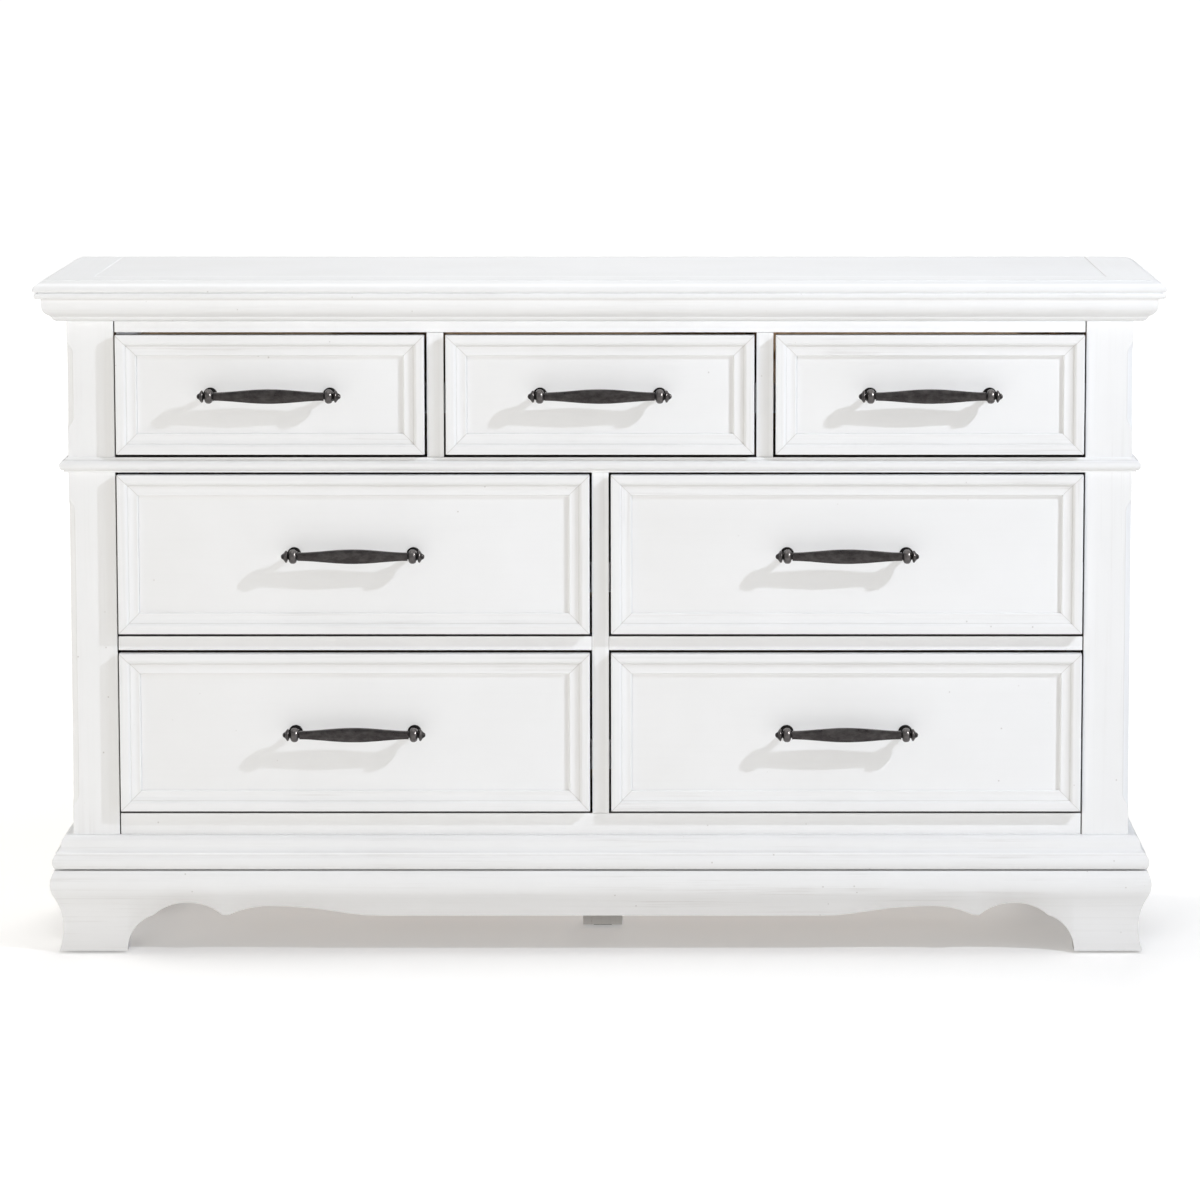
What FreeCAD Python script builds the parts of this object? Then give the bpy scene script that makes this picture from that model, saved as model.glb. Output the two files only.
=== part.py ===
import FreeCAD, Part
import math
import os
import re
import Sketcher

# Seven-drawer dresser: a moulded case on an ogee bracket base, with framed drawer fronts and bar pulls.
# Millimetres, +Z up, the front faces -Y, and the origin is on the floor under the middle of the top.

SIZES = {
    # Top and case
    "top_width": 1676,
    "top_depth": 483,
    "top_overhang": 44.5,
    "top_thickness": 17,
    "top_front_board": 84,
    "top_end_board": 84,
    "joint_groove": 1.6,
    "thumb_inset": 17,
    "thumb_step": 1.2,
    "thumb_nose": 4.7,
    "thumb_radius": 18.6,
    "lip_inset": 1.6,
    "lip_radius": 5,
    "post_width": 70,
    "post_depth": 45,
    "rail_depth": 40,
    "rail_setback": 1,
    "divider_width": 25,
    "tenon_length": 28,
    "tenon_thickness": 12,
    "tenon_shoulder": 6,
    "side_tenon_shoulder": 12,
    "side_rail_thickness": 22,
    "side_rail_height": 100,
    "waist_side_margin": 18,
    "side_panel": 8,
    "panel_setback": 7,
    "panel_tongue": 7,
    "panel_play": 0.3,
    "back_panel": 6,
    "dust_panel": 10,
    "bottom_drop": 24,
    # Heights from the floor up
    "base_height": 127,
    "bottom_rail_height": 85,
    "lower_opening": 246,
    "middle_rail_height": 23,
    "waist_height": 24,
    "upper_opening": 185,
    "top_rail_height": 63,
    # Stopped chamfers on the front posts
    "chamfer_leg": 9,
    "tongue_length": 26,
    "upper_stop_above": 24,
    "upper_stop_below": 33,
    "lower_stop_above": 33,
    "lower_stop_below": 36,
    # Crown moulding, as reaches from the case and drops from the top
    "crown_quirk_reach": 36,
    "crown_quirk": 2,
    "crown_bead_reach": 40.5,
    "crown_bead": 8,
    "crown_bead_radius": 5,
    "crown_ovolo_reach": 33,
    "crown_band": 10.5,
    "crown_ovolo": 16.4,
    "crown_ovolo_foot": 21,
    "crown_ovolo_radius": 17.2,
    "crown_fillet": 1.5,
    "crown_hollow_reach": 19.7,
    "crown_hollow_foot": 10.3,
    "crown_hollow": 6.8,
    "crown_hollow_radius": 9.5,
    # Waist moulding
    "waist_fillet_reach": 6,
    "waist_fillet": 3.5,
    "waist_nose_reach": 8.5,
    "waist_nose": 14,
    "waist_nose_radius": 8.1,
    "waist_cove_reach": 3.5,
    "waist_cove": 4.5,
    "waist_cove_radius": 6,
    # Base moulding
    "base_gap": 2.5,
    "base_nose_reach": 25.8,
    "base_nose": 20.5,
    "base_nose_radius": 16,
    "base_fillet_reach": 24.6,
    "base_fillet": 4.5,
    "base_cove": 9,
    "base_cove_reach": 17,
    "base_cove_radius": 10,
    "base_step": 2,
    "base_ovolo": 13,
    "base_ovolo_reach": 10,
    "base_ovolo_radius": 15.5,
    # Bracket base
    "bracket_inset": 8,
    "toe_reach": 21,
    "hollow_height": 84,
    "hollow_reach": 28.2,
    "hollow_radius": 102,
    "swell_reach": 26.8,
    "swell_radius": 37.3,
    "apron_drop": 57,
    "apron_flat": 330,
    "ease_reach": 402,
    "ease_rise": 64.3,
    "ease_radius": 358,
    "long_arch_reach": 498.5,
    "long_arch_rise": 72.6,
    "long_arch_radius": 560,
    "short_arch_radius": 136,
    "cusp_height": 58,
    "cusp_inner": 560,
    "cusp_outer": 569,
    "round_arch_radius": 77,
    "foot_cusp": 673,
    "foot_inner": 712,
    "foot_curve_radius": 56,
    "side_foot": 150,
    "side_foot_curve": 39,
    "side_arch_radius": 300,
    "rear_foot_thickness": 20,
    "rear_foot_width": 130,
    "corner_block": 60,
    "glide_height": 4,
    "glide_width": 28,
    # Drawers
    "reveal": 2.5,
    "front_proud": 17,
    "front_thickness": 18.5,
    "frame_width": 31,
    "frame_height": 13,
    "frame_edge": 1.2,
    "frame_land": 11,
    "frame_quirk": 2.8,
    "frame_quirk_slope": 0.6,
    "frame_quirk_flat": 0.8,
    "frame_bead": 4,
    "frame_bead_fall": 0.8,
    "frame_bead_radius": 2.3,
    "frame_inner_fillet": 3,
    "frame_inner_height": 5.6,
    "frame_inner_fall": 0.6,
    "frame_ogee_radius": 24,
    "side_thickness": 13,
    "side_lift": 10,
    "side_headroom": 26,
    "box_clearance": 33,
    "back_headroom": 12,
    "tongue_depth": 9,
    "tongue_neck": 6,
    "tongue_flare": 1.5,
    "joint_play": 0.2,
    "drawer_bottom": 6,
    "bottom_groove": 6,
    "bottom_lift": 12,
    # Drawer slides
    "slide_gap": 12.7,
    "slide_height": 45,
    "slide_lift": 62,
    "slide_start": 20,
    "slide_clearance": 32.5,
    "slide_sheet": 1.5,
    "slide_depth": 10,
    "slide_play": 0.5,
    # Bar pulls
    "pull_spacing": 178,
    "pull_standoff": 29,
    "bar_end_height": 11.6,
    "bar_quarter_height": 17,
    "bar_middle_height": 21.5,
    "bar_depth": 10,
    "bar_chamfer": 3,
    "bead_half": 6.1,
    "bead_radius": 10.75,
    "bead_shoulder": 10,
    "bead_foot": 6.6,
    "neck_length": 1.4,
    "neck_radius": 4,
    "flange_radius": 8.5,
    "flange_rise": 0.6,
    "flange_length": 2.2,
    "cone_length": 8,
    "tip_radius": 1.6,
    "rose_radius": 9.5,
    "rose_height": 2.8,
    "stem_radius": 4.8,
}

# Levels and places that follow from the driving sizes
FORMULAS = {
    "case_half": "top_width / 2 - top_overhang",
    "face": "top_overhang - top_depth / 2",
    "back": "top_depth / 2",
    "back_inside": "back - back_panel",
    "post_inner": "case_half - post_width",
    "side_front": "face + post_depth",
    "side_back": "back_inside - post_depth",
    "row_three": "base_height + bottom_rail_height",
    "middle_rail": "row_three + lower_opening",
    "row_two": "middle_rail + middle_rail_height",
    "waist": "row_two + lower_opening",
    "row_one": "waist + waist_height",
    "top_rail": "row_one + upper_opening",
    "underside": "top_rail + top_rail_height",
    "crown_fall": "crown_quirk + crown_bead + crown_band + crown_ovolo + crown_fillet + crown_hollow",
    "crown_foot": "underside - crown_fall",
    "waist_rest": "waist_height - waist_fillet - waist_nose - waist_cove",
    "base_rise": "base_nose + base_fillet + base_cove + base_step + base_ovolo",
    "base_mould": "base_height + base_gap",
    "upper_width": "(2 * post_inner - 2 * divider_width) / 3",
    "lower_width": "(2 * post_inner - divider_width) / 2",
    "chamfer_depth": "chamfer_leg / sqrt(2)",
    "tongue_radius": "(tongue_length ^ 2 + chamfer_depth ^ 2) / (4 * chamfer_depth)",
    "panel_proud": "front_proud - frame_height",
    "front_back": "front_thickness - panel_proud",
    "box_depth": "back_inside - face - front_back - box_clearance",
    "slide_length": "back_inside - face - slide_start - slide_clearance",
    "dust_level": "waist + (waist_height - dust_panel) / 2",
    "middle_dust": "middle_rail + (middle_rail_height - dust_panel) / 2",
    "bottom_level": "row_three - bottom_drop - dust_panel",
    "bar_reach": "pull_spacing / 2 - bead_half",
    "bar_swell": "(bar_middle_height - bar_quarter_height) / 2",
    "bar_radius": "bar_reach ^ 2 / (8 * bar_swell) + bar_swell / 2",
}

# Lower and upper edges of the rails that are tenoned into the posts
FRONT_RAILS = {
    "top_rail": ("top_rail", "underside"),
    "waist_rail": ("waist", "row_one"),
    "middle_rail": ("middle_rail", "row_two"),
    "bottom_rail": ("base_height", "row_three"),
}
SIDE_RAILS = {
    "bottom_side_rail": ("base_height", "base_height + side_rail_height"),
    "waist_side_rail": ("waist - waist_side_margin", "row_one + waist_side_margin"),
    "top_side_rail": ("underside - side_rail_height", "underside"),
}

# Sides of the pull's turned pieces, an even number
TURNED_SIDES = 10

NAMES = set(SIZES) | set(FORMULAS)
WORD = re.compile(r"[a-z][a-z_]*")

doc = FreeCAD.newDocument("Dresser")
sheet = doc.addObject("Spreadsheet::Sheet", "Sizes")
nodes = {}


def cells(text):
    """Turn each size's name in an expression into a reference to its cell."""
    return WORD.sub(lambda found: ("Sizes." if found.group() in NAMES else "") + found.group(), str(text))


def number(text):
    """The present value of an expression."""
    return float(sheet.evalExpression(cells(text)))


def fill_sheet():
    """Write every driving size and every formula into the sheet, each under its own alias."""
    row = 0
    for name, value in SIZES.items():
        row += 1
        sheet.set(f"A{row}", name)
        sheet.set(f"B{row}", str(value))
        sheet.setAlias(f"B{row}", name)
    for name, formula in FORMULAS.items():
        row += 1
        sheet.set(f"A{row}", name)
        sheet.set(f"B{row}", "=" + formula)
        sheet.setAlias(f"B{row}", name)
    doc.recompute()


def bind(feature, sizes):
    """Tie a feature's properties to expressions of the sheet."""
    for name, text in sizes.items():
        feature.setExpression(name, cells(text))


def put(feature, x="0", y="0", z="0"):
    """Tie a feature's place to expressions of the sheet."""
    bind(feature, {"Placement.Base.x": x, "Placement.Base.y": y, "Placement.Base.z": z})


def board(name, x, y, z):
    """A straight board; x, y and z each give its low and high side."""
    box = doc.addObject("Part::Box", name)
    put(box, x[0], y[0], z[0])
    bind(box, {
        "Length": f"({x[1]}) - ({x[0]})",
        "Width": f"({y[1]}) - ({y[0]})",
        "Height": f"({z[1]}) - ({z[0]})",
    })
    return box


def joined(kind, name, pieces):
    """A Part::MultiFuse, Part::MultiCommon or Part::Compound of several pieces."""
    whole = doc.addObject("Part::" + kind, name)
    if kind == "Compound":
        whole.Links = pieces
    else:
        whole.Shapes = pieces
    return whole


def cut(name, base, tools):
    """Take one or more tools out of a base."""
    tool = tools[0]
    if len(tools) > 1:
        tool = joined("MultiFuse", name + "_tools", tools)
    result = doc.addObject("Part::Cut", name)
    result.Base = base
    result.Tool = tool
    return result


def mirror(name, source, normal=(1, 0, 0), middle=None):
    """The mirror image of a piece; middle is the plane's place along Z where it isn't the origin."""
    image = doc.addObject("Part::Mirroring", name)
    image.Source = source
    image.Normal = FreeCAD.Vector(*normal)
    if middle is not None:
        bind(image, {"Base.z": middle})
    return image


def pair(name, right):
    """A piece and its mirror image on the other side of the dresser."""
    return [right, mirror(name + "_left", right)]


def node(label, pieces):
    """Register a named sub-part made of one or more separate solids."""
    whole = joined("Compound", "node_" + label, pieces)
    whole.Label = label
    nodes[label] = whole
    return whole


def placed(label, master, x, y, z):
    """Register a sub-part that repeats a master piece at another place."""
    whole = node(label, [master])
    put(whole, x, y, z)
    return whole


def new_body(name):
    return doc.addObject("PartDesign::Body", name)


def new_sketch(body, plane, path, turned=1):
    """A closed outline on one of the body's origin planes.

    Each step of the path is a corner (x, y), reached by a straight line, or (x, y, radius, turn), reached
    by an arc that turns left for 1 and right for -1. turned is -1 where the plane mirrors the path.
    """
    sketch = body.newObject("Sketcher::SketchObject", body.Name + "_sketch")
    support = [feature for feature in body.Origin.OriginFeatures if feature.Role == plane]
    sketch.AttachmentSupport = [(support[0], "")]
    sketch.MapMode = "FlatFace"
    add_outline(sketch, path, turned)
    return sketch


def add_outline(sketch, path, turned=1):
    """Draw one closed path in a sketch and tie its corners and radii to the sheet."""
    corners = [FreeCAD.Vector(number(step[0]), number(step[1]), 0) for step in path]
    edges = []
    for index, step in enumerate(path):
        start, finish = corners[index - 1], corners[index]
        if len(step) == 2:
            edges.append((sketch.addGeometry(Part.LineSegment(start, finish)), 1, 2))
        else:
            edges.append(add_arc(sketch, start, finish, number(step[2]), step[3] * turned))
    for index, (edge, first, last) in enumerate(edges):
        before, _, before_last = edges[index - 1]
        sketch.addConstraint(Sketcher.Constraint("Coincident", before, before_last, edge, first))
        step = path[index]
        for kind, text in (("DistanceX", step[0]), ("DistanceY", step[1])):
            constraint = Sketcher.Constraint(kind, -1, 1, edge, last, number(text))
            bind(sketch, {f"Constraints[{sketch.addConstraint(constraint)}]": text})
        if len(step) > 2:
            constraint = Sketcher.Constraint("Radius", edge, number(step[2]))
            bind(sketch, {f"Constraints[{sketch.addConstraint(constraint)}]": step[2]})


def add_arc(sketch, start, finish, radius, turn):
    """The shorter arc from start to finish, with its centre to the left for turn 1."""
    chord = finish - start
    rise = math.sqrt(radius ** 2 - (chord.Length / 2) ** 2)
    side = FreeCAD.Vector(-chord.y, chord.x, 0).normalize()
    centre = (start + finish) * 0.5 + side * (rise * turn)
    first, last = (start, finish) if turn > 0 else (finish, start)
    angles = [math.atan2(point.y - centre.y, point.x - centre.x) for point in (first, last)]
    circle = Part.Circle(centre, FreeCAD.Vector(0, 0, 1), radius)
    edge = sketch.addGeometry(Part.ArcOfCircle(circle, *angles))
    return (edge, 1, 2) if turn > 0 else (edge, 2, 1)


def pad(body, sketch, length, symmetric=True):
    """Extrude a sketch by a length, to both sides of its plane or along its normal."""
    feature = body.newObject("PartDesign::Pad", body.Name + "_pad")
    feature.Profile = sketch
    feature.SideType = "Symmetric" if symmetric else "One side"
    bind(feature, {"Length": length})
    return feature


def pocket(body, sketch, length):
    """Cut a sketch out of the body by a length that lies evenly on both sides of its plane."""
    feature = body.newObject("PartDesign::Pocket", body.Name + "_pocket")
    feature.Profile = sketch
    feature.SideType = "Symmetric"
    bind(feature, {"Length": length})
    return feature


def reversed_path(path):
    """The mirror image in x of an open path, walked from left to right."""
    image = []
    for index in range(len(path) - 1, -1, -1):
        corner = (f"-({path[index][0]})", path[index][1])
        after = path[index + 1][2:] if index + 1 < len(path) else ()
        image.append(corner + tuple(after))
    return image


def wrapped(name, path, level):
    """Front and side lengths of one moulding, mitred round the case's front corners.

    The path's corners are (reach from the case, rise from the level).
    """
    front = new_body(name + "_front")
    across = [(f"face - ({step[0]})", f"{level} + ({step[1]})") + tuple(step[2:]) for step in path]
    pad(front, new_sketch(front, "YZ_Plane", across, -1), "top_width")
    mitre = [
        ("case_half - post_width", "face + post_width"),
        ("case_half + top_overhang", "face - top_overhang"),
        ("case_half + top_overhang", "face + post_width"),
    ]
    ends = new_sketch(front, "XY_Plane", mitre)
    add_outline(ends, [(f"-({x})", y) for x, y in mitre])
    pocket(front, ends, "2 * (underside + top_thickness)")

    side = new_body(name + "_right")
    along = [(f"case_half + {step[0]}", f"{level} + ({step[1]})") + tuple(step[2:]) for step in path]
    pad(side, new_sketch(side, "XZ_Plane", along), "top_depth")
    corner = [
        ("case_half - post_width", "face + post_width"),
        ("case_half - post_width", "face - 2 * top_overhang"),
        ("case_half + top_overhang", "face - 2 * top_overhang"),
        ("case_half + top_overhang", "face - top_overhang"),
    ]
    pocket(side, new_sketch(side, "XY_Plane", corner), "2 * (underside + top_thickness)")
    return front, side


def thumb(edge):
    """The upper edge moulding of the top: a lip, a nose, an ovolo and a small step, outwards and up."""
    return [
        (f"{edge}", "underside + thumb_nose", "lip_radius", 1),
        (f"{edge} - thumb_inset", "underside + top_thickness - thumb_step", "thumb_radius", 1),
        (f"{edge} - thumb_inset", "underside + top_thickness"),
    ]


def make_top():
    """The top: one moulded slab sawn into a front board, two end boards and a middle panel."""
    edge = [("top_width / 2 - lip_inset", "underside")] + thumb("top_width / 2")
    across = new_body("top_across")
    pad(across, new_sketch(across, "XZ_Plane", edge + reversed_path(edge)), "top_depth")
    along = new_body("top_along")
    profile = [("-back", "underside"), ("back - lip_inset", "underside")] + thumb("back")
    profile.append(("-back", "underside + top_thickness"))
    turned = [(f"-({step[0]})",) + tuple(step[1:]) for step in profile]
    pad(along, new_sketch(along, "YZ_Plane", turned, -1), "top_width")
    slab = joined("MultiCommon", "top_slab", [across, along])

    front_joint = "top_front_board - back"
    end_joint = "top_width / 2 - top_end_board"
    grooves = []
    for name, place in (("left", f"-({end_joint})"), ("right", end_joint)):
        groove = board("joint_groove_" + name, ("0", "joint_groove"), (front_joint, "back"),
                       ("0", "joint_groove"))
        groove.Placement.Rotation = FreeCAD.Rotation(FreeCAD.Vector(0, 1, 0), 45)
        put(groove, f"{place} - joint_groove / sqrt(2)", front_joint, "underside + top_thickness")
        grooves.append(groove)
    grooved = cut("top_grooved", slab, grooves)

    height = ("underside", "underside + top_thickness")
    saws = {
        "top_panel": [((f"-({end_joint})", end_joint), (front_joint, "back"))],
        "top_front_board": [(("-top_width / 2", "top_width / 2"), ("-back", front_joint))],
        "top_end_boards": [((end_joint, "top_width / 2"), (front_joint, "back")),
                           (("-top_width / 2", f"-({end_joint})"), (front_joint, "back"))],
    }
    for label, cuts in saws.items():
        pieces = []
        for x, y in cuts:
            saw = board(f"{label}_saw_{len(pieces)}", x, y, height)
            pieces.append(joined("MultiCommon", f"{label}_{len(pieces)}", [grooved, saw]))
        node(label, pieces)


def make_crown():
    """Crown moulding: a quirk, a bead, a flat band, an ovolo, a fillet and a small ovolo below."""
    drops = ["0", "crown_quirk", "crown_bead", "crown_band", "crown_ovolo", "crown_fillet", "crown_hollow"]
    levels = [f"-({' + '.join(drops[:count + 1])})" for count in range(len(drops))]
    path = [
        ("0", levels[6]),
        ("crown_hollow_foot", levels[6]),
        ("crown_hollow_reach", levels[5], "crown_hollow_radius", 1),
        ("crown_ovolo_foot", levels[4]),
        ("crown_ovolo_reach", levels[3], "crown_ovolo_radius", 1),
        ("crown_ovolo_reach", levels[2]),
        ("crown_bead_reach", levels[2]),
        ("crown_bead_reach", levels[1], "crown_bead_radius", 1),
        ("crown_quirk_reach", levels[1]),
        ("crown_quirk_reach", "0"),
        ("0", "0"),
    ]
    front, side = wrapped("crown", path, "underside")
    node("crown_moulding", [front] + pair("crown", side))


def make_waist_moulding():
    """Waist moulding: a fillet, a bullnose and a small cove, as high as the waist rail."""
    path = [
        ("0", "0"),
        ("waist_fillet_reach", "0"),
        ("waist_fillet_reach", "waist_fillet"),
        ("waist_nose_reach", "waist_fillet"),
        ("waist_nose_reach", "waist_fillet + waist_nose", "waist_nose_radius", 1),
        ("waist_fillet_reach", "waist_fillet + waist_nose"),
        ("waist_cove_reach", "waist_height - waist_rest", "waist_cove_radius", -1),
        ("waist_cove_reach", "waist_height"),
        ("0", "waist_height"),
    ]
    front, side = wrapped("waist_mould", path, "waist")
    node("waist_moulding", [front] + pair("waist_mould", side))


def make_base_moulding():
    """Base moulding: a bullnose, a fillet, a cove and an ovolo, over a shadow gap."""
    path = [
        ("0", "0"),
        ("base_nose_reach", "0"),
        ("base_nose_reach", "base_nose", "base_nose_radius", 1),
        ("base_fillet_reach", "base_nose"),
        ("base_fillet_reach", "base_nose + base_fillet"),
        ("base_cove_reach", "base_nose + base_fillet + base_cove", "base_cove_radius", -1),
        ("base_cove_reach", "base_rise - base_ovolo"),
        ("base_ovolo_reach", "base_rise", "base_ovolo_radius", 1),
        ("0", "base_rise"),
    ]
    front, side = wrapped("base_mould", path, "base_mould")
    node("base_moulding", [front] + pair("base_mould", side))


def make_bracket_base():
    """Bracket base: ogee boards mitred at the front corners, with scalloped lower edges."""
    path = [
        ("-bracket_inset", "0"),
        ("toe_reach", "0"),
        ("hollow_reach", "hollow_height", "hollow_radius", -1),
        ("swell_reach", "base_height - glide_height", "swell_radius", 1),
        ("-bracket_inset", "base_height - glide_height"),
    ]
    front, side = wrapped("bracket", path, "glide_height")
    half = [
        ("apron_flat", "apron_drop"),
        ("ease_reach", "ease_rise", "ease_radius", 1),
        ("long_arch_reach", "long_arch_rise", "long_arch_radius", -1),
        ("cusp_inner", "cusp_height", "short_arch_radius", -1),
        ("cusp_outer", "cusp_height"),
        ("foot_cusp", "cusp_height", "round_arch_radius", -1),
        ("foot_inner", "0", "foot_curve_radius", -1),
    ]
    pocket(front, new_sketch(front, "XZ_Plane", reversed_path(half) + half), "2 * top_depth")
    near, far = "face + side_foot - swell_reach", "back - side_foot + side_foot_curve"
    arch = [
        (f"{near} - side_foot_curve", "0"),
        (near, "cusp_height", "foot_curve_radius", -1),
        (far + " - side_foot_curve", "cusp_height", "side_arch_radius", -1),
        (far, "0", "foot_curve_radius", -1),
    ]
    pocket(side, new_sketch(side, "YZ_Plane", arch), "2 * top_width")
    node("bracket_base_front", [front])
    node("bracket_base_sides", pair("bracket_side", side))

    inside = "case_half - bracket_inset"
    rear = board("rear_foot_right", (f"{inside} - rear_foot_width", inside),
                 ("back - rear_foot_thickness", "back"), ("glide_height", "base_height"))
    node("rear_feet", pair("rear_foot", rear))
    make_supports(inside)


def make_supports(inside):
    """Corner blocks and a centre leg that carry the case, each on a floor glide."""
    front_edge = "face + bracket_inset"
    rear_edge = "back - rear_foot_thickness"
    stands = {
        "front": (f"{inside} - corner_block", f"{front_edge}"),
        "rear": (f"{inside} - corner_block", f"{rear_edge} - corner_block"),
    }
    half = "corner_block / 2"
    blocks, glides = [], []
    for name, (x, y) in stands.items():
        block = board("corner_block_" + name, (x, f"{x} + corner_block"), (y, f"{y} + corner_block"),
                      ("glide_height", "base_height"))
        blocks += pair("corner_block_" + name, block)
        glides += pair("glide_" + name, floor_glide(name, f"{x} + {half}", f"{y} + {half}"))
    blocks.append(board("centre_leg", (f"-{half}", half), (f"-{half}", half),
                        ("glide_height", "bottom_level")))
    glides.append(floor_glide("centre", "0", "0"))
    node("support_blocks", blocks)
    node("floor_glides", glides)


def floor_glide(name, x, y):
    """A square pad under a block, which keeps the wood off the floor."""
    half = "glide_width / 2"
    return board("glide_" + name, (f"{x} - {half}", f"{x} + {half}"), (f"{y} - {half}", f"{y} + {half}"),
                 ("0", "glide_height"))


def side_panels(grow):
    """The two panels of the right side, each let into its grooves; grow widens them to cut the grooves."""
    outer = "case_half - panel_setback"
    reach = f"panel_tongue + {grow}"
    x = (f"{outer} - side_panel - {grow}", f"{outer} + {grow}")
    y = (f"side_front - ({reach})", f"side_back + {reach}")
    lower = ("base_height + side_rail_height", "waist - waist_side_margin")
    upper = ("row_one + waist_side_margin", "underside - side_rail_height")
    name = "side_panel" if grow == "0" else "side_groove"
    return [board(f"{name}_{index}", x, y, (f"{low} - ({reach})", f"{high} + {reach}"))
            for index, (low, high) in enumerate((lower, upper))]


def front_tenon(name, rail, grow):
    """The tenon of a front rail in the right post; grow widens it to cut the mortise."""
    low, high = FRONT_RAILS[rail]
    middle, half = "face + rail_depth / 2", f"(tenon_thickness / 2 + {grow})"
    return board(f"{rail}_{name}", ("post_inner", f"post_inner + tenon_length + {grow}"),
                 (f"{middle} - {half}", f"{middle} + {half}"),
                 (f"{low} + tenon_shoulder - {grow}", f"{high} - tenon_shoulder + {grow}"))


def side_tenons(name, rail, grow):
    """The tenons of a side rail in the front and the rear post, in line with the panel."""
    low, high = SIDE_RAILS[rail]
    outer = "case_half - panel_setback"
    x = (f"{outer} - side_panel - {grow}", f"{outer} + {grow}")
    z = (f"{low} + side_tenon_shoulder - {grow}", f"{high} - side_tenon_shoulder + {grow}")
    front = (f"side_front - tenon_length - {grow}", "side_front")
    rear = ("side_back", f"side_back + tenon_length + {grow}")
    return [board(f"{rail}_{name}_front", x, front, z), board(f"{rail}_{name}_rear", x, rear, z)]


def make_sides():
    """Posts, side rails and side panels: a mortised frame whose panels sit in grooves."""
    grooves = side_panels("panel_play")
    front_mortises = [front_tenon("mortise", rail, "joint_play") for rail in FRONT_RAILS]
    rear_mortises = []
    rails = []
    for rail, height in SIDE_RAILS.items():
        front_mortise, rear_mortise = side_tenons("mortise", rail, "joint_play")
        front_mortises.append(front_mortise)
        rear_mortises.append(rear_mortise)
        blank = board(rail + "_blank", ("case_half - side_rail_thickness", "case_half"),
                      ("side_front", "side_back"), height)
        grooved = cut(rail + "_grooved", blank, grooves)
        rails += pair(rail, joined("MultiFuse", rail, [grooved] + side_tenons("tenon", rail, "0")))
    node("side_rails", rails)
    front = cut("front_post_right", chamfered_post(), grooves + front_mortises)
    node("front_posts", pair("front_post", front))
    rear = board("rear_post_blank", ("post_inner", "case_half"), ("side_back", "back_inside"),
                 ("base_height", "underside"))
    node("rear_posts", pair("rear_post", cut("rear_post_right", rear, grooves + rear_mortises)))
    panels = []
    for index, panel in enumerate(side_panels("0")):
        panels += pair(f"side_panel_{index}", panel)
    node("side_panels", panels)


def chamfered_post():
    """The right front post: its outer corner has two chamfers that end in lamb's tongues.

    The chamfers are cut in the upright plane that halves the corner, so their depth is drawn there.
    """
    body = new_body("front_post_body")
    outline = [("post_inner", "face"), ("case_half", "face"), ("case_half", "side_front"),
               ("post_inner", "side_front")]
    plan = new_sketch(body, "XY_Plane", outline)
    bind(plan, {"AttachmentOffset.Base.z": "base_height"})
    pad(body, plan, "underside - base_height", symmetric=False)
    upper = stopped_chamfer("row_one + upper_stop_below", "crown_foot - upper_stop_above")
    lower = stopped_chamfer("base_mould + base_rise + lower_stop_below", "waist - lower_stop_above")
    halving = new_sketch(body, "XZ_Plane", upper)
    add_outline(halving, lower)
    turn = FreeCAD.Rotation(FreeCAD.Vector(0, 1, 0), -45)
    halving.AttachmentOffset = FreeCAD.Placement(FreeCAD.Vector(), turn)
    bind(halving, {"AttachmentOffset.Base.x": "case_half", "AttachmentOffset.Base.z": "-face"})
    pocket(body, halving, "4 * chamfer_leg")
    return body


def stopped_chamfer(low, high):
    """Depth of one chamfer along its height: an ogee of two arcs at each end, and a flat between."""
    half = "chamfer_depth / 2"
    return [
        ("chamfer_depth", low),
        ("0", low),
        (f"-{half}", f"{low} + tongue_length / 2", "tongue_radius", 1),
        ("-chamfer_depth", f"{low} + tongue_length", "tongue_radius", -1),
        ("-chamfer_depth", f"{high} - tongue_length"),
        (f"-{half}", f"{high} - tongue_length / 2", "tongue_radius", -1),
        ("0", high, "tongue_radius", 1),
        ("chamfer_depth", high),
    ]


def make_front_rails():
    """Front rails, tenoned into the posts; the middle one is in two lengths beside the centre divider."""
    setback = ("face + rail_setback", "face + rail_depth")
    depths = {"top_rail": setback, "waist_rail": ("face", "face + rail_depth"), "bottom_rail": setback}
    for rail, depth in depths.items():
        blank = board(rail + "_blank", ("-post_inner", "post_inner"), depth, FRONT_RAILS[rail])
        tenons = pair(rail + "_tenon", front_tenon("tenon", rail, "0"))
        node(rail, [joined("MultiFuse", rail + "_whole", [blank] + tenons)])
    blank = board("middle_rail_blank", ("divider_width / 2", "post_inner"), setback,
                  FRONT_RAILS["middle_rail"])
    tenon = front_tenon("tenon", "middle_rail", "0")
    node("middle_rails", pair("middle_rail", joined("MultiFuse", "middle_rail_right", [blank, tenon])))


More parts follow.
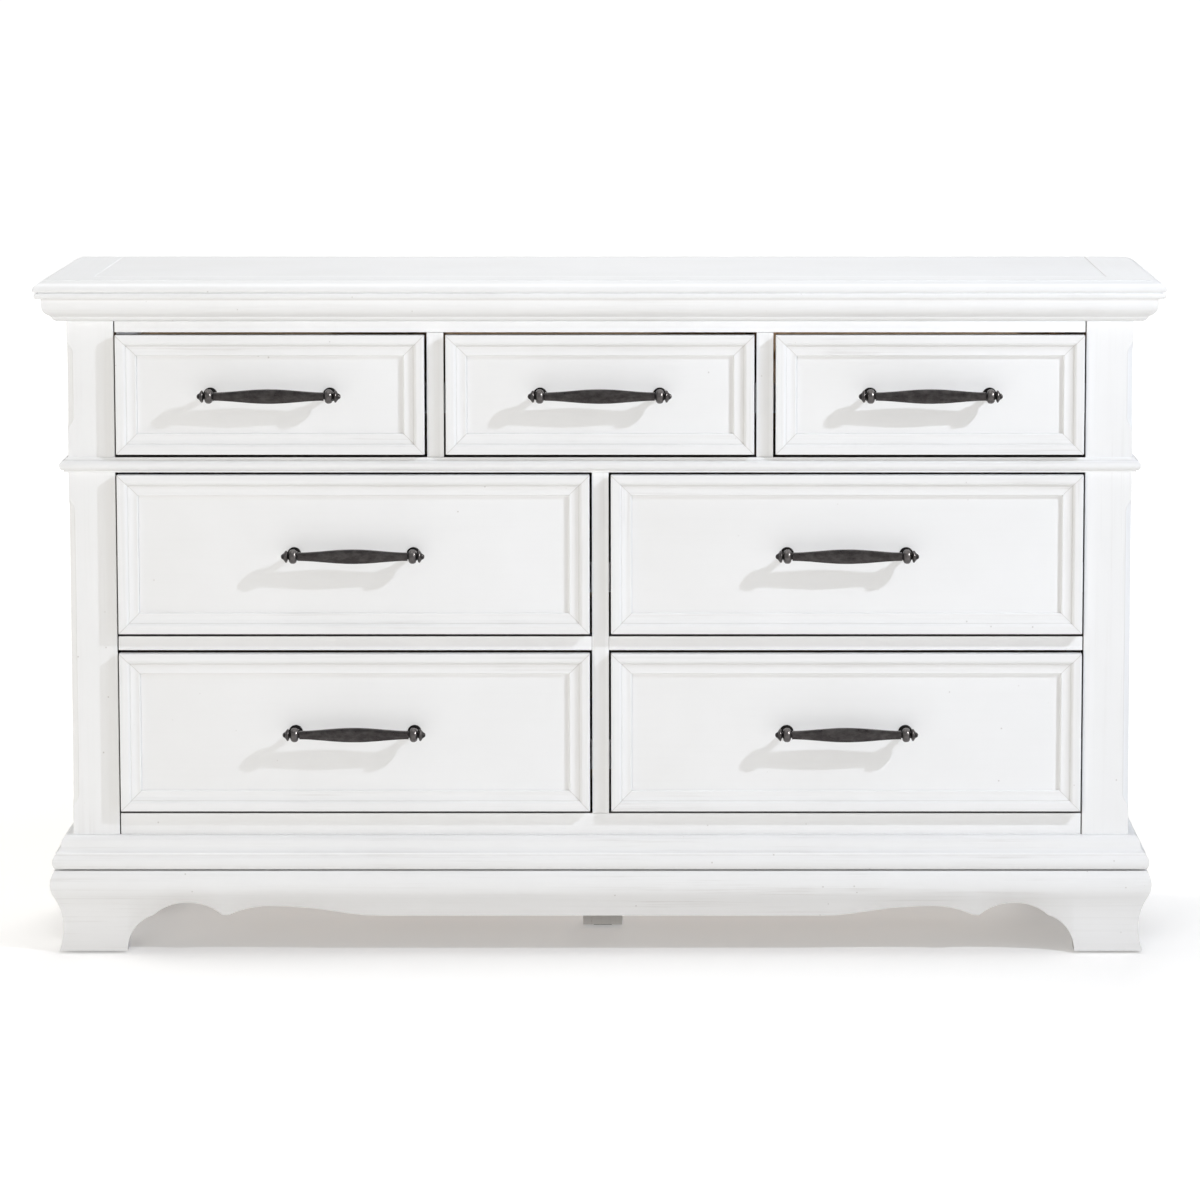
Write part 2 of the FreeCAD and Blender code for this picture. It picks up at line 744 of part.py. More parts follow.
def make_frame():
    """Dividers, partitions and panels between the posts."""
    wide = ("-post_inner", "post_inner")
    depth = ("face + rail_setback", "face + rail_depth")
    half_divider = "divider_width / 2"
    near = "upper_width / 2"
    far = f"{near} + divider_width"
    upper = board("upper_divider_right", (near, far), depth, ("row_one", "top_rail"))
    lower = board("centre_divider", (f"-{half_divider}", half_divider), depth, ("row_three", "waist"))
    node("dividers", pair("upper_divider", upper) + [lower])
    inner = ("face + rail_depth", "back_inside")
    upper = board("upper_partition_right", (near, far), inner, ("dust_level + dust_panel", "underside"))
    lower = board("centre_partition", (f"-{half_divider}", half_divider), inner,
                  ("bottom_level + dust_panel", "dust_level"))
    node("partitions", pair("upper_partition", upper) + [lower])

    upper = board("upper_dust_panel", wide, inner, ("dust_level", "dust_level + dust_panel"))
    middle = board("middle_dust_panel_right", (half_divider, "post_inner"), inner,
                   ("middle_dust", "middle_dust + dust_panel"))
    node("dust_panels", [upper] + pair("middle_dust_panel", middle))
    node("bottom_panel", [board("bottom_panel", wide, inner, ("bottom_level", "bottom_level + dust_panel"))])
    node("back_panel", [board("back_panel", ("-case_half", "case_half"), ("back_inside", "back"),
                              ("base_height", "underside"))])


def slide_channel(name, low, high, inside, height, lift):
    """A lipped steel channel along the drawer; inside is the open part of its section."""
    length = ("slide_start", "slide_start + slide_length")
    blank = board(name + "_blank", (low, high), length, (lift, f"{lift} + {height}"))
    hollow = board(name + "_hollow", inside, length,
                   (f"{lift} + slide_sheet", f"{lift} + {height} - slide_sheet"))
    return cut(name, blank, [hollow])


def make_case_slides(kind, width):
    """Both case-side channels of one drawer opening, open towards the drawer."""
    edge = f"{width} / 2"
    right = slide_channel(f"{kind}_case_slide", f"{edge} - slide_depth", edge,
                          (f"{edge} - slide_depth", f"{edge} - slide_sheet"), "slide_height", "slide_lift")
    return joined("Compound", f"{kind}_case_slides", pair(f"{kind}_case_slide", right))


def make_drawer_slides(kind, width):
    """Both drawer-side rails, which run inside the case-side channels."""
    edge = f"{width} / 2 - slide_gap"
    height = "(slide_height - 2 * slide_sheet - 2 * slide_play)"
    right = slide_channel(f"{kind}_drawer_slide", edge, f"{edge} + slide_depth",
                          (f"{edge} + slide_sheet", f"{edge} + slide_depth"), height,
                          "slide_lift + slide_sheet + slide_play")
    return joined("Compound", f"{kind}_drawer_slides", pair(f"{kind}_drawer_slide", right))


def frame_profile():
    """Section of the drawer's frame moulding, as (distance in from the edge, height over the panel)."""
    quirk = "frame_height - frame_quirk"
    bead_start = "frame_land + frame_quirk_slope + frame_quirk_flat"
    return [
        ("0", "0"),
        ("0", "frame_height - frame_edge"),
        ("frame_edge", "frame_height"),
        ("frame_land", "frame_height"),
        ("frame_land + frame_quirk_slope", quirk),
        (bead_start, quirk),
        (f"{bead_start} + frame_bead", f"{quirk} - frame_bead_fall", "frame_bead_radius", -1),
        ("frame_width - frame_inner_fillet", "frame_inner_height", "frame_ogee_radius", 1),
        ("frame_width", "frame_inner_height - frame_inner_fall"),
        ("frame_width", "0"),
    ]


def make_frame_strips(kind, width, height):
    """The four mitred strips of one drawer front: lower and right are drawn, their images complete it."""
    edge = f"{width} / 2 - reveal"
    profile = frame_profile()
    lower = new_body(kind + "_lower_strip")
    section = [(f"-(panel_proud + ({rise}))", f"reveal + {run}") + tuple(arc)
               for run, rise, *arc in profile]
    pad(lower, new_sketch(lower, "YZ_Plane", section), f"{width} - 2 * reveal")
    inner = f"{edge} - frame_width"
    mitre = [(edge, "reveal"), (edge, "reveal + frame_width"), (inner, "reveal + frame_width")]
    ends = new_sketch(lower, "XZ_Plane", mitre)
    add_outline(ends, [(f"-({x})", z) for x, z in mitre])
    pocket(lower, ends, "4 * front_proud")

    right = new_body(kind + "_right_strip")
    section = [(f"{edge} - ({run})", f"-(panel_proud + ({rise}))") + tuple(arc)
               for run, rise, *arc in profile]
    plan = new_sketch(right, "XY_Plane", section)
    bind(plan, {"AttachmentOffset.Base.z": "reveal"})
    pad(right, plan, f"{height} - 2 * reveal", symmetric=False)
    top = f"{height} - reveal"
    corner = [(edge, "reveal"), (inner, "reveal + frame_width"), (inner, "reveal")]
    ends = new_sketch(right, "XZ_Plane", corner)
    add_outline(ends, [(edge, top), (inner, top), (inner, f"{top} - frame_width")])
    pocket(right, ends, "4 * front_proud")
    upper = mirror(kind + "_upper_strip", lower, (0, 0, 1), f"{height} / 2")
    return [lower, upper] + pair(kind + "_strip", right)


def dovetail(name, x, low, high, grow):
    """An upright dovetail tongue from a drawer side into its front; grow widens it to cut the groove."""
    wedge = doc.addObject("Part::Wedge", name)
    put(wedge, x, "front_back", low)
    neck, tip = f"tongue_neck / 2 + {grow}", f"tongue_neck / 2 + tongue_flare + {grow}"
    bind(wedge, {
        "Xmin": f"-({tip})", "Xmax": tip, "Ymin": f"-tongue_depth - {grow}", "Ymax": "0",
        "X2min": f"-({neck})", "X2max": neck,
        "Zmin": "0", "Zmax": f"({high}) - ({low})", "Z2min": "0", "Z2max": f"({high}) - ({low})",
    })
    return wedge


def make_drawer_box(kind, width, height):
    """Front board, box and bottom of one kind of drawer, about the middle of its opening's lower edge."""
    edge = f"{width} / 2 - reveal"
    outside = f"{width} / 2 - slide_gap"
    low, high = "side_lift", f"{height} - side_headroom"
    end = "front_back + box_depth"
    side_middle = f"{outside} - side_thickness / 2"
    floor = "side_lift + bottom_lift"
    inside = f"{outside} - side_thickness"

    def bottom(name, grow):
        reach = f"{inside} + bottom_groove + {grow}"
        return board(name, (f"-({reach})", reach), (f"front_back - bottom_groove - {grow}", end),
                     (f"{floor} - {grow}", f"{floor} + drawer_bottom + {grow}"))

    groove = bottom(kind + "_bottom_groove", "joint_play")
    blank = board(kind + "_side_blank", (inside, outside), ("front_back", end), (low, high))
    tongue = dovetail(kind + "_tongue", side_middle, low, high, "0")
    side = cut(kind + "_side", joined("MultiFuse", kind + "_side_tongued", [blank, tongue]), [groove])
    back = board(kind + "_back", (f"-({inside})", inside), (f"{end} - side_thickness", end),
                 (f"{floor} + drawer_bottom", f"{high} - back_headroom"))
    box = joined("Compound", kind + "_box", pair(kind + "_side", side) + [back])

    front = board(kind + "_front_blank", (f"-({edge})", edge), ("-panel_proud", "front_back"),
                  ("reveal", f"{height} - reveal"))
    sockets = pair(kind + "_socket", dovetail(kind + "_socket", side_middle, "reveal", high, "joint_play"))
    front = cut(kind + "_front_board", front, [groove] + sockets)
    face = joined("Compound", kind + "_front", [front] + make_frame_strips(kind, width, height))
    return face, box, bottom(kind + "_bottom", "0")


def turned(name, profile):
    """A turned piece along X as a few-sided solid: its outline is sawn through from all round."""
    body = new_body(name)
    outline = profile + [(x, f"-({radius})") for x, radius in reversed(profile)]
    pad(body, new_sketch(body, "XZ_Plane", outline), "4 * bead_radius")
    views = []
    for index in range(TURNED_SIDES // 2):
        view = joined("Compound", f"{name}_view_{index}", [body])
        view.Placement.Rotation = FreeCAD.Rotation(FreeCAD.Vector(1, 0, 0), index * 360 / TURNED_SIDES)
        views.append(view)
    return joined("MultiCommon", name + "_turned", views)


def prism(name, radius, length):
    """A few-sided bar from the panel outwards."""
    bar = doc.addObject("Part::Prism", name)
    bar.Polygon = TURNED_SIDES
    bar.Placement.Rotation = FreeCAD.Rotation(FreeCAD.Vector(1, 0, 0), 90)
    bind(bar, {"Circumradius": radius, "Height": length})
    return bar


def pull_end():
    """One turned end of the pull: bead, neck and flanged cone, on a stem with a round rose."""
    flange = "bead_half + neck_length"
    cone = f"{flange} + flange_length"
    knob = turned("pull_knob", [
        ("-bead_half", "bead_foot"),
        ("-bead_half / 2", "bead_shoulder"),
        ("0", "bead_radius"),
        ("bead_half / 2", "bead_shoulder"),
        ("bead_half", "neck_radius"),
        (flange, "neck_radius"),
        (f"{flange} + flange_rise", "flange_radius"),
        (cone, "flange_radius"),
        (f"{cone} + cone_length", "tip_radius"),
    ])
    put(knob, "0", "-pull_standoff")
    pieces = [knob, prism("pull_stem", "stem_radius", "pull_standoff"),
              prism("pull_rose", "rose_radius", "rose_height")]
    end = joined("MultiFuse", "pull_end", pieces)
    put(end, "pull_spacing / 2")
    return end


def make_pull():
    """The bar pull: a chamfered spindle bar, swelling to its middle, between two turned ends."""
    body = new_body("pull_bar")
    half = [
        ("bar_reach", "-bar_end_height / 2"),
        ("bar_reach", "bar_end_height / 2"),
        ("bar_reach / 2", "bar_quarter_height / 2"),
        ("-bar_reach / 2", "bar_quarter_height / 2", "bar_radius", 1),
    ]
    outline = half + [(f"-({x})", f"-({z})") + tuple(arc) for x, z, *arc in half]
    bar = pad(body, new_sketch(body, "XZ_Plane", outline), "bar_depth")
    doc.recompute()
    long_edges = [f"Edge{index + 1}" for index, edge in enumerate(bar.Shape.Edges)
                  if edge.BoundBox.XLength > edge.BoundBox.ZLength]
    chamfer = body.newObject("PartDesign::Chamfer", "pull_bar_chamfer")
    chamfer.Base = (bar, long_edges)
    bind(chamfer, {"Size": "bar_chamfer"})
    put(body, "0", "-pull_standoff")
    return joined("MultiFuse", "pull", [body] + pair("pull_end", pull_end()))


def make_drawers():
    """Seven drawers of two kinds, placed in their openings, and the channels that they run in."""
    kinds = {"small": ("upper_width", "upper_opening"), "wide": ("lower_width", "lower_opening")}
    step_small = "upper_width + divider_width"
    step_wide = "(lower_width + divider_width) / 2"
    places = [
        ("top_left", "small", f"-({step_small})", "row_one"),
        ("top_middle", "small", "0", "row_one"),
        ("top_right", "small", step_small, "row_one"),
        ("middle_left", "wide", f"-{step_wide}", "row_two"),
        ("middle_right", "wide", step_wide, "row_two"),
        ("bottom_left", "wide", f"-{step_wide}", "row_three"),
        ("bottom_right", "wide", step_wide, "row_three"),
    ]
    pull = make_pull()
    masters = {}
    for kind, (width, height) in kinds.items():
        masters[kind] = make_drawer_box(kind, width, height)
        masters[kind] += (make_drawer_slides(kind, width), make_case_slides(kind, width))
    channels = []
    for name, kind, x, level in places:
        front, box, bottom, rails, channel = masters[kind]
        label = f"drawer_{name}_"
        for piece, master in (("front", front), ("box", box), ("bottom", bottom), ("slides", rails)):
            placed(label + piece, master, x, "face", level)
        placed(label + "pull", pull, x, "face - panel_proud", f"{level} + {kinds[kind][1]} / 2")
        case_slide = joined("Compound", f"channel_{name}", [channel])
        put(case_slide, x, "face", level)
        channels.append(case_slide)
    node("slide_channels", channels)


def write_parts():
    """Check every object, then write each sub-part's solids to its own file."""
    doc.recompute()
    for item in doc.Objects:
        if "Invalid" in item.State or "Error" in item.State:
            raise RuntimeError(f"{item.Name} failed: {item.State}")
    shapes = {}
    for label, item in nodes.items():
        shape = item.Shape
        if shape.isNull() or not shape.isValid() or not shape.Solids:
            raise RuntimeError(f"{label} has no valid solid")
        shapes[label] = shape.Solids[0] if len(shape.Solids) == 1 else Part.makeCompound(shape.Solids)
    os.makedirs("parts", exist_ok=True)
    for label, shape in shapes.items():
        shape.exportStep(f"parts/{label}.step")
    print(len(shapes), "sub-parts,", sum(len(shape.Solids) for shape in shapes.values()), "solids")


fill_sheet()
make_top()
make_crown()
make_sides()
make_front_rails()
make_frame()
make_waist_moulding()
make_base_moulding()
make_bracket_base()
make_drawers()
write_parts()
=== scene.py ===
import math

import bmesh
import bpy
import numpy as np
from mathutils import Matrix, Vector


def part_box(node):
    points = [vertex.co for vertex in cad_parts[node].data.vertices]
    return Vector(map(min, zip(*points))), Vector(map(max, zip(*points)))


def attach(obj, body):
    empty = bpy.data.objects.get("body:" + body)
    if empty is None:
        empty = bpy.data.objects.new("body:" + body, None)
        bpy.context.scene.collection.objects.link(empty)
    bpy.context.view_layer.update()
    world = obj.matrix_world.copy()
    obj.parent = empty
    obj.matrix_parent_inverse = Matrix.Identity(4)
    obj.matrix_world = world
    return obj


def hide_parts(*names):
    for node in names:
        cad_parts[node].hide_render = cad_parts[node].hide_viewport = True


# A white painted dresser: framed drawers with dark bar pulls, mouldings and a scalloped bracket base.
# Shapes are worked out in millimetres and put into meshes in metres, in the frame of the solids.

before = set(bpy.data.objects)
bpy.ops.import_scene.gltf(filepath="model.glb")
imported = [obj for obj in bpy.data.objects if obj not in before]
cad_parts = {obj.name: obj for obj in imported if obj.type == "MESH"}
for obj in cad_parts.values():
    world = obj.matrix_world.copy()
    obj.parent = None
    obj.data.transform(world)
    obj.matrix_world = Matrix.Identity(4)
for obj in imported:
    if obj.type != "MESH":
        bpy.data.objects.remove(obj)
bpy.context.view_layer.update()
MM = 0.001


def span(node):
    """Lowest and highest corner of one solid piece, in millimetres."""
    low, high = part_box(node)
    return np.array(low) / MM, np.array(high) / MM


# Places read from the frame
POST_LOW, POST_HIGH = span("front_posts")
TOP_LOW, TOP_HIGH = span("top_front_board")
END_LOW, END_HIGH = span("top_end_boards")
PANEL_LOW, PANEL_HIGH = span("top_panel")
BRACKET_LOW, BRACKET_HIGH = span("bracket_base_front")
HALF = POST_HIGH[0]
FACE = POST_LOW[1]
BACK = END_HIGH[1]
UNDERSIDE = TOP_LOW[2]
MIRROR = np.array([-1, 1, 1])

# Names of pieces that are needed more than once
DRAWERS = ("top_left", "top_middle", "top_right", "middle_left", "middle_right", "bottom_left",
           "bottom_right")
PULLS = [f"drawer_{name}_pull_fine" for name in DRAWERS]
OVERHANG = [name + "_fine" for name in ("crown_moulding", "waist_moulding", "top_front_board",
                                        "top_end_boards", "top_panel")]

# Shading of each point: above 0 painted shade and glaze in a hollow, below 0 a painted highlight on
# an arris, and at the top value the painted shade of a gap, in dark brown
GAP_SHADE = 3.0
# The joints of the top: a painted highlight on the left one and a painted shade line on the right one
JOINT_HIGHLIGHT, JOINT_SHADE = -1.4, 1.6
HOLLOW_REACH = 1.6

# Eased corners, even points and shading
ARC_STEP = 0.12
CORNER = 0.3
EASE = 0.7
EASE_SHARE = 0.45
EASE_POINTS = 5
FILL = 1.6
BOARD_FILL = 4
SHARP = math.radians(38)

# Mouldings as (reach from the case, rise), with (radius, turn) where a step is an arc
CROWN = [(0, -45.2), (10.3, -45.2), (19.7, -38.4, 9.5, 1), (21, -36.9), (33, -20.5, 17.2, 1), (33, -10),
         (40.5, -10), (40.5, -2, 5, 1), (36, -2), (36, 0), (0, 0)]
WAIST = [(0, 0), (6, 0), (6, 3.5), (8.5, 3.5), (8.5, 17.5, 8.1, 1), (6, 17.5), (3.5, 21.2, 6, -1),
         (3.5, 22.2), (0, 22.2)]
BASE = [(0, 0), (25.8, 0), (25.8, 20.5, 16, 1), (24.6, 20.5), (24.6, 25), (17, 34, 10, -1), (17, 36),
        (10, 49, 15.5, 1), (0, 49)]
MITRE_GAP = 0.12

# Top: its moulded edge, and the hair's breadth between its boards
TOP_THICKNESS = 17
TOP_EDGE = [(-1.6, 0), (0, 3.2, 3.4, 1), (-4.2, 10.6, 10.5, 1), (-5.6, 11.5), (-17, 16.3, 44, 1),
            (-17, TOP_THICKNESS)]
TOP_EASE, END_EASE, PANEL_EASE = 1.7, 2.6, 0.35
TOP_GAP = 0.05
TOP_JOINT = 10

# Bracket base: its ogee, and the lower edge of its right half from the middle to the foot as (place, height)
BRACKET = [(21, 0), (28.2, 84, 102, -1), (26.8, 123, 37.3, 1)]
BRACKET_INSET = 8
BRACKET_ROWS = 34
SCALLOP = [(0, 57), (330, 57), (402, 64.3, 358, 1), (498.5, 72.6, 560, -1), (560, 58, 136, -1), (569, 58),
           (673, 58, 77, -1), (712, 0, 56, -1)]
SIDE_FOOT = 150
SIDE_FOOT_REACH = 26.8
ARCH_RUN, ARCH_HEIGHT = 39, 58
ARCH_END_RADIUS, ARCH_RADIUS = 56, 300
# Painted shade that grows towards the lower edge of the bracket base, and the power of its fade upwards
FOOT_SHADE, FOOT_FADE = 0.95, 1.5

# Stopped chamfers of the front posts, with the lowest and highest place of each run
CHAMFER = 9
TONGUE, TONGUE_ROWS = 26, 15
CHAMFERS = ((784, 930), (214.5, 694))
ARRIS_LINE, ARRIS_TURN = 1.1, 0.12
ARRIS_CORNER, ARRIS_GLAZE = 2, 1.3

# Face frame, and how deep in the gaps round the drawers the painted shade begins
POST_WIDTH = 70
POST_EDGE = 1
DIVIDER = 25
DIVIDER_GAP = 0.4
SILL_DROP = 2.2
JOINT_GAP = 1.7
JOINT_EDGE, JOINT_SHADE_DEPTH = 0.1, 1.5
GAP_SHADE_DEPTH = 2
FADE_START, FADE_END = -1, 3

# Sides and back, with the lowest and highest place of each side rail
SIDE_GAP = 0.5
RAIL_THICKNESS = 22
SIDE_RAILS = ((127, 227), (709, 769), (899, 999))
SCREW_INSET = 14
SCREWS_ACROSS, SCREWS_UP = 9, 6
SCREW_SIDES = 20
SCREW_SINK = 0.3
SCREW_HEAD = [(0, 3.4), (0.9, 3.3), (1.5, 2.7), (1.7, 1.8), (1.65, 1.3), (1.1, 0.9), (0.6, 0.3)]

# Drawer fronts: the frame moulding as (run in from the edge, rise over the panel), and its finish
DRAWER_FRAME = [(0, 0), (0, 9.8), (1.5, 11.2, 1.6, -1), (10.6, 11.0), (15.6, 7.4, 6.2, -1), (16.0, 6.6),
                (16.9, 7.0), (29.2, 5.3, 16, 1), (31, 4.0, 2.2, -1), (31, 0)]
FRAME_EASE, FRAME_FILL, FRAME_HOLLOW = 0.4, 0.8, 0.9
FRONT_INSET, FRONT_EASE = 0.3, 0.5
EDGE_TRIM = 1.0
# Points this close to the front's outer edges, behind its face, take the painted shade of the gaps
EDGE_SHADE_BAND = 0.5
MITRE_LINE, MITRE_GLAZE = 0.9, 2.15

# Bar pulls: the bar, and turned profiles as (place along the axis, radius)
PULL_HALF = 89
STANDOFF = 29
BAR_END, BAR_MIDDLE, BAR_DEPTH = 12.2, 21.5, 10
BAR_GAP = 1.4
BAR_ROWS, BAR_SIDES = 61, 48
BAR_SWELL = 0.9
BAR_ROUND = 2 / 4.4
BEAD_HALF, BEAD_RISE, BEAD_POWER, BEAD_ROWS = 6.1, 6.4, 2.6, 19
NECK_LENGTH, NECK_RADIUS = 4, 4.3
STEM_RADIUS = 4.8
TURNED_SIDES = 40
FINIAL = [(6.4, 4.6), (7.4, 4.4), (7.8, 5.8), (8.2, 7.4), (8.8, 8.6), (9.6, 9.1), (10.4, 9.1), (11.2, 8.7),
          (11.9, 7.9), (12.6, 6.8), (13.4, 5.6), (14.3, 4.6), (15.2, 4.0), (16.1, 3.5), (16.9, 2.9),
          (17.4, 2.1), (17.7, 1.1), (17.8, 0.2)]
ROSE = [(0, 10.6), (-1.1, 10.6), (-1.7, 10.3), (-2.0, 9.8), (-2.2, 8.6), (-2.6, 7.2), (-3.2, 5.8),
        (-4.4, 4.9)]
# Turned ends: patina and painted shade at the necks, rubbed metal and a painted highlight at the beads'
# widest, and painted shade on the roses and stems
BEAD_SHADING_RADII, BEAD_SHADING = (3, 5, 8, 10.7), (0.4, 0.9, 0, -1)
STEM_SHADE = 1.0

# Colours
# The last white is a painted highlight on arrises and on a joint of the top
WHITE, CLOUD_WHITE, ARRIS_HIGHLIGHT_WHITE = (0.865, 0.865, 0.862), (0.835, 0.834, 0.828), (0.93, 0.93, 0.93)
LINE_GREY, PATCH_GREY = (0.70, 0.69, 0.67), (0.52, 0.49, 0.46)
# The glaze brown is glaze with painted shade, and the last brown is the painted shade of gaps
GLAZE_AND_SHADE_BROWN, SPECK_BROWN, GAP_SHADE_BROWN = (0.46, 0.42, 0.375), (0.30, 0.26, 0.22), (0.072, 0.053, 0.041)
WOOD_PALE, WOOD_DEEP, WOOD_FIBRE = (0.66, 0.49, 0.32), (0.52, 0.36, 0.21), (0.36, 0.23, 0.125)
PEWTER_DARK, PEWTER_PALE, PEWTER_FINE = (0.052, 0.047, 0.047), (0.09, 0.083, 0.082), (0.15, 0.14, 0.137)
# The hollow pewter is patina and painted shade, the rubbed pewter is rubbed metal and a painted highlight
PEWTER_PATINA_AND_SHADE, PEWTER_RUBBED_AND_HIGHLIGHT = (0.012, 0.011, 0.011), (0.23, 0.215, 0.21)
ZINC_DARK, ZINC_PALE = (0.50, 0.51, 0.52), (0.62, 0.63, 0.64)
PAD_DARK, PAD_PALE = (0.05, 0.046, 0.042), (0.085, 0.08, 0.074)
FLOOR_TONE = (0.795, 0.78, 0.757)

# Sockets of the Mix node that carry its two colours and their mixture
FIRST_COLOUR, SECOND_COLOUR, MIXED_COLOUR = 6, 7, 2

# Stage, in metres: the floor is lifted to white between two distances, and the surrounding is white
FLOOR_HALF = 60.0
FLOOR_ROUGHNESS = 0.9
LIFT_NEAR, LIFT_FAR = 1.2, 5.0
LIFT_LOW, LIFT_HIGH = 0.32, 0.92
AMBIENT, REFLECTED, SEEN = 0.16, 0.35, 1.0

# Lamps, in metres and watts, as (name, place, size, power, aim, tint)
KEY = (3.25, -2.1, 3.1)
MIDDLE, TOP_AIM = (0, -0.2, 0.55), (-0.3, 0.1, 1)
PLAIN, COOL, WARM = (1, 1, 1), (0.94, 0.995, 1.1), (1.03, 1.0, 0.95)
LAMPS = (
    ("key", KEY, 0.1, 84, MIDDLE, COOL),
    ("glint", KEY, 0.5, 300, MIDDLE, PLAIN),
    ("right_soft", (11, -9.5, 3.0), 2.4, 238, MIDDLE, COOL),
    ("fill", (-2.0, -6, 1.4), 2.0, 143, MIDDLE, WARM),
    ("left", (-9, -2.4, 2.2), 2.5, 55, MIDDLE, PLAIN),
    ("left_behind", (-9, 2.5, 3.2), 4.0, 290, MIDDLE, PLAIN),
    ("behind", (1, 10, 4.2), 4.0, 390, MIDDLE, PLAIN),
    ("overhead", (-0.6, 0.6, 4.2), 3.0, 76, TOP_AIM, PLAIN),
)
NOT_REFLECTED = ("key", "right_soft", "fill", "left_behind", "behind")
SHADOWLESS = {"key": OVERHANG, "right_soft": PULLS, "fill": PULLS}

# Camera, in metres, with its lens in millimetres
LENS, SENSOR = 147.95, 36
SHIFT = (-0.0616, -0.1)
EYE = (0.11, -7.5, 1.6)
TILT = 0.1206
CLIP_END = 200


def arc(start, finish, radius, turn):
    """Points after start on the shorter arc to finish.

    The spoke from the centre to the start is turned about the centre in even steps.
    """
    chord = finish - start
    length = math.hypot(*chord)
    side = np.array([-chord[1], chord[0]]) / length
    centre = (start + finish) / 2 + side * turn * math.sqrt(max(radius ** 2 - length ** 2 / 4, 0))
    spoke = start - centre
    sweep = 2 * math.asin(min(length / 2 / radius, 1)) * turn
    angles = np.linspace(0, sweep, int(abs(sweep) / ARC_STEP) + 3)[1:]
    across, up = np.cos(angles), np.sin(angles)
    return centre + np.stack([spoke[0] * across - spoke[1] * up, spoke[0] * up + spoke[1] * across], 1)


def outline(steps):
    """The polyline through a list of steps, with its arcs sampled."""
    runs = [np.array([steps[0][:2]], float)]
    for step in steps[1:]:
        finish = np.array(step[:2], float)
        runs.append(arc(runs[-1][-1], finish, *step[2:]) if len(step) > 2 else finish[None])
    return np.concatenate(runs)


def bends(points):
    """Edges before and after each point of a closed polyline, and its signed turn there."""
    before, after = points - np.roll(points, 1, 0), np.roll(points, -1, 0) - points
    cross = before[:, 0] * after[:, 1] - before[:, 1] * after[:, 0]
    return before, after, np.arctan2(cross, (before * after).sum(1))


def eased(points, size=EASE):
    """Each corner of a closed polyline becomes a quadratic curve between points cut back on both sides."""
    before, after, turn = bends(points)
    long_before, long_after = np.linalg.norm(before, axis=1), np.linalg.norm(after, axis=1)
    back = np.minimum(size, EASE_SHARE * np.minimum(long_before, long_after))
    back = np.where(np.abs(turn) > CORNER, back, 0)
    first = points - before * (back / long_before)[:, None]
    last = points + after * (back / long_after)[:, None]
    t = np.linspace(0, 1, EASE_POINTS)[:, None, None]
    curve = (1 - t) ** 2 * first + 2 * t * (1 - t) * points + t ** 2 * last
    kept = np.ones(curve.shape[:2], bool)
    kept[1:] = back > 0
    return curve.swapaxes(0, 1)[kept.T]


def filled(points, step=FILL):
    """A closed polyline with even extra points, so that no run is longer than the step."""
    after = np.roll(points, -1, 0) - points
    counts = np.maximum(1, np.ceil(np.linalg.norm(after, axis=1) / step)).astype(int)
    place = np.repeat(np.arange(len(points)), counts)
    number = np.arange(counts.sum()) - np.repeat(np.cumsum(counts) - counts, counts)
    return points[place] + after[place] * (number / counts[place])[:, None]


def hollows(points, reach=HOLLOW_REACH):
    """How far each point of a closed outline lies in a hollow (positive) or on an arris (negative).

    The signed turns of the outline near a point are added up, each faded by a bell curve of its distance.
    """
    _, after, turn = bends(points)
    turn *= np.sign(turn.sum())
    place = np.cumsum(np.linalg.norm(after, axis=1))
    apart = np.abs(place[:, None] - place)
    apart = np.minimum(apart, place[-1] - apart)
    return -(np.exp(-(apart / reach) ** 2) @ turn)


def moulded(steps, size=EASE, step=FILL):
    """A finished section: the outline of the steps with eased corners and even points."""
    return filled(eased(outline(steps), size), step)


def placed(x, y, z):
    """Points from three coordinates, of which some may be single numbers."""
    return np.stack(np.broadcast_arrays(x, y, z), -1).astype(float)


def skin(rows, shading_and_wear=0.0):
    """A surface through stations of closed rings: faces of four between neighbours, and one on each end."""
    rows = np.asarray(rows, float)
    stations, count = rows.shape[:2]
    index = np.arange(stations * count).reshape(stations, count)
    beside = np.roll(index, -1, 1)
    faces = np.stack([index[:-1], beside[:-1], beside[1:], index[1:]], -1).reshape(-1, 4).tolist()
    faces += [index[0, ::-1].tolist(), index[-1].tolist()]
    return rows.reshape(-1, 3), faces, np.broadcast_to(shading_and_wear, (stations, count)).reshape(-1)


def board(low, high, along=0, ease=EASE):
    """A straight board: a rectangle with eased corners, carried along one axis.

    At both ends the rectangle is drawn in by a quarter circle.
    """
    a, b = [axis for axis in range(3) if axis != along]
    corners = np.array([(low[a], low[b]), (high[a], low[b]), (high[a], high[b]), (low[a], high[b])], float)
    ring = filled(eased(corners, ease), BOARD_FILL)
    turn = np.linspace(0, math.pi / 2, EASE_POINTS)
    inset, step = ease * (1 - np.sin(turn)), ease * (1 - np.cos(turn))
    inset = np.concatenate([inset, inset[::-1]])[:, None]
    rings = np.empty((len(inset), len(ring), 3))
    rings[:, :, a] = np.clip(ring[:, 0], low[a] + inset, high[a] - inset)
    rings[:, :, b] = np.clip(ring[:, 1], low[b] + inset, high[b] - inset)
    rings[:, :, along] = np.concatenate([low[along] + step, high[along] - step[::-1]])[:, None]
    return skin(rings, hollows(ring))


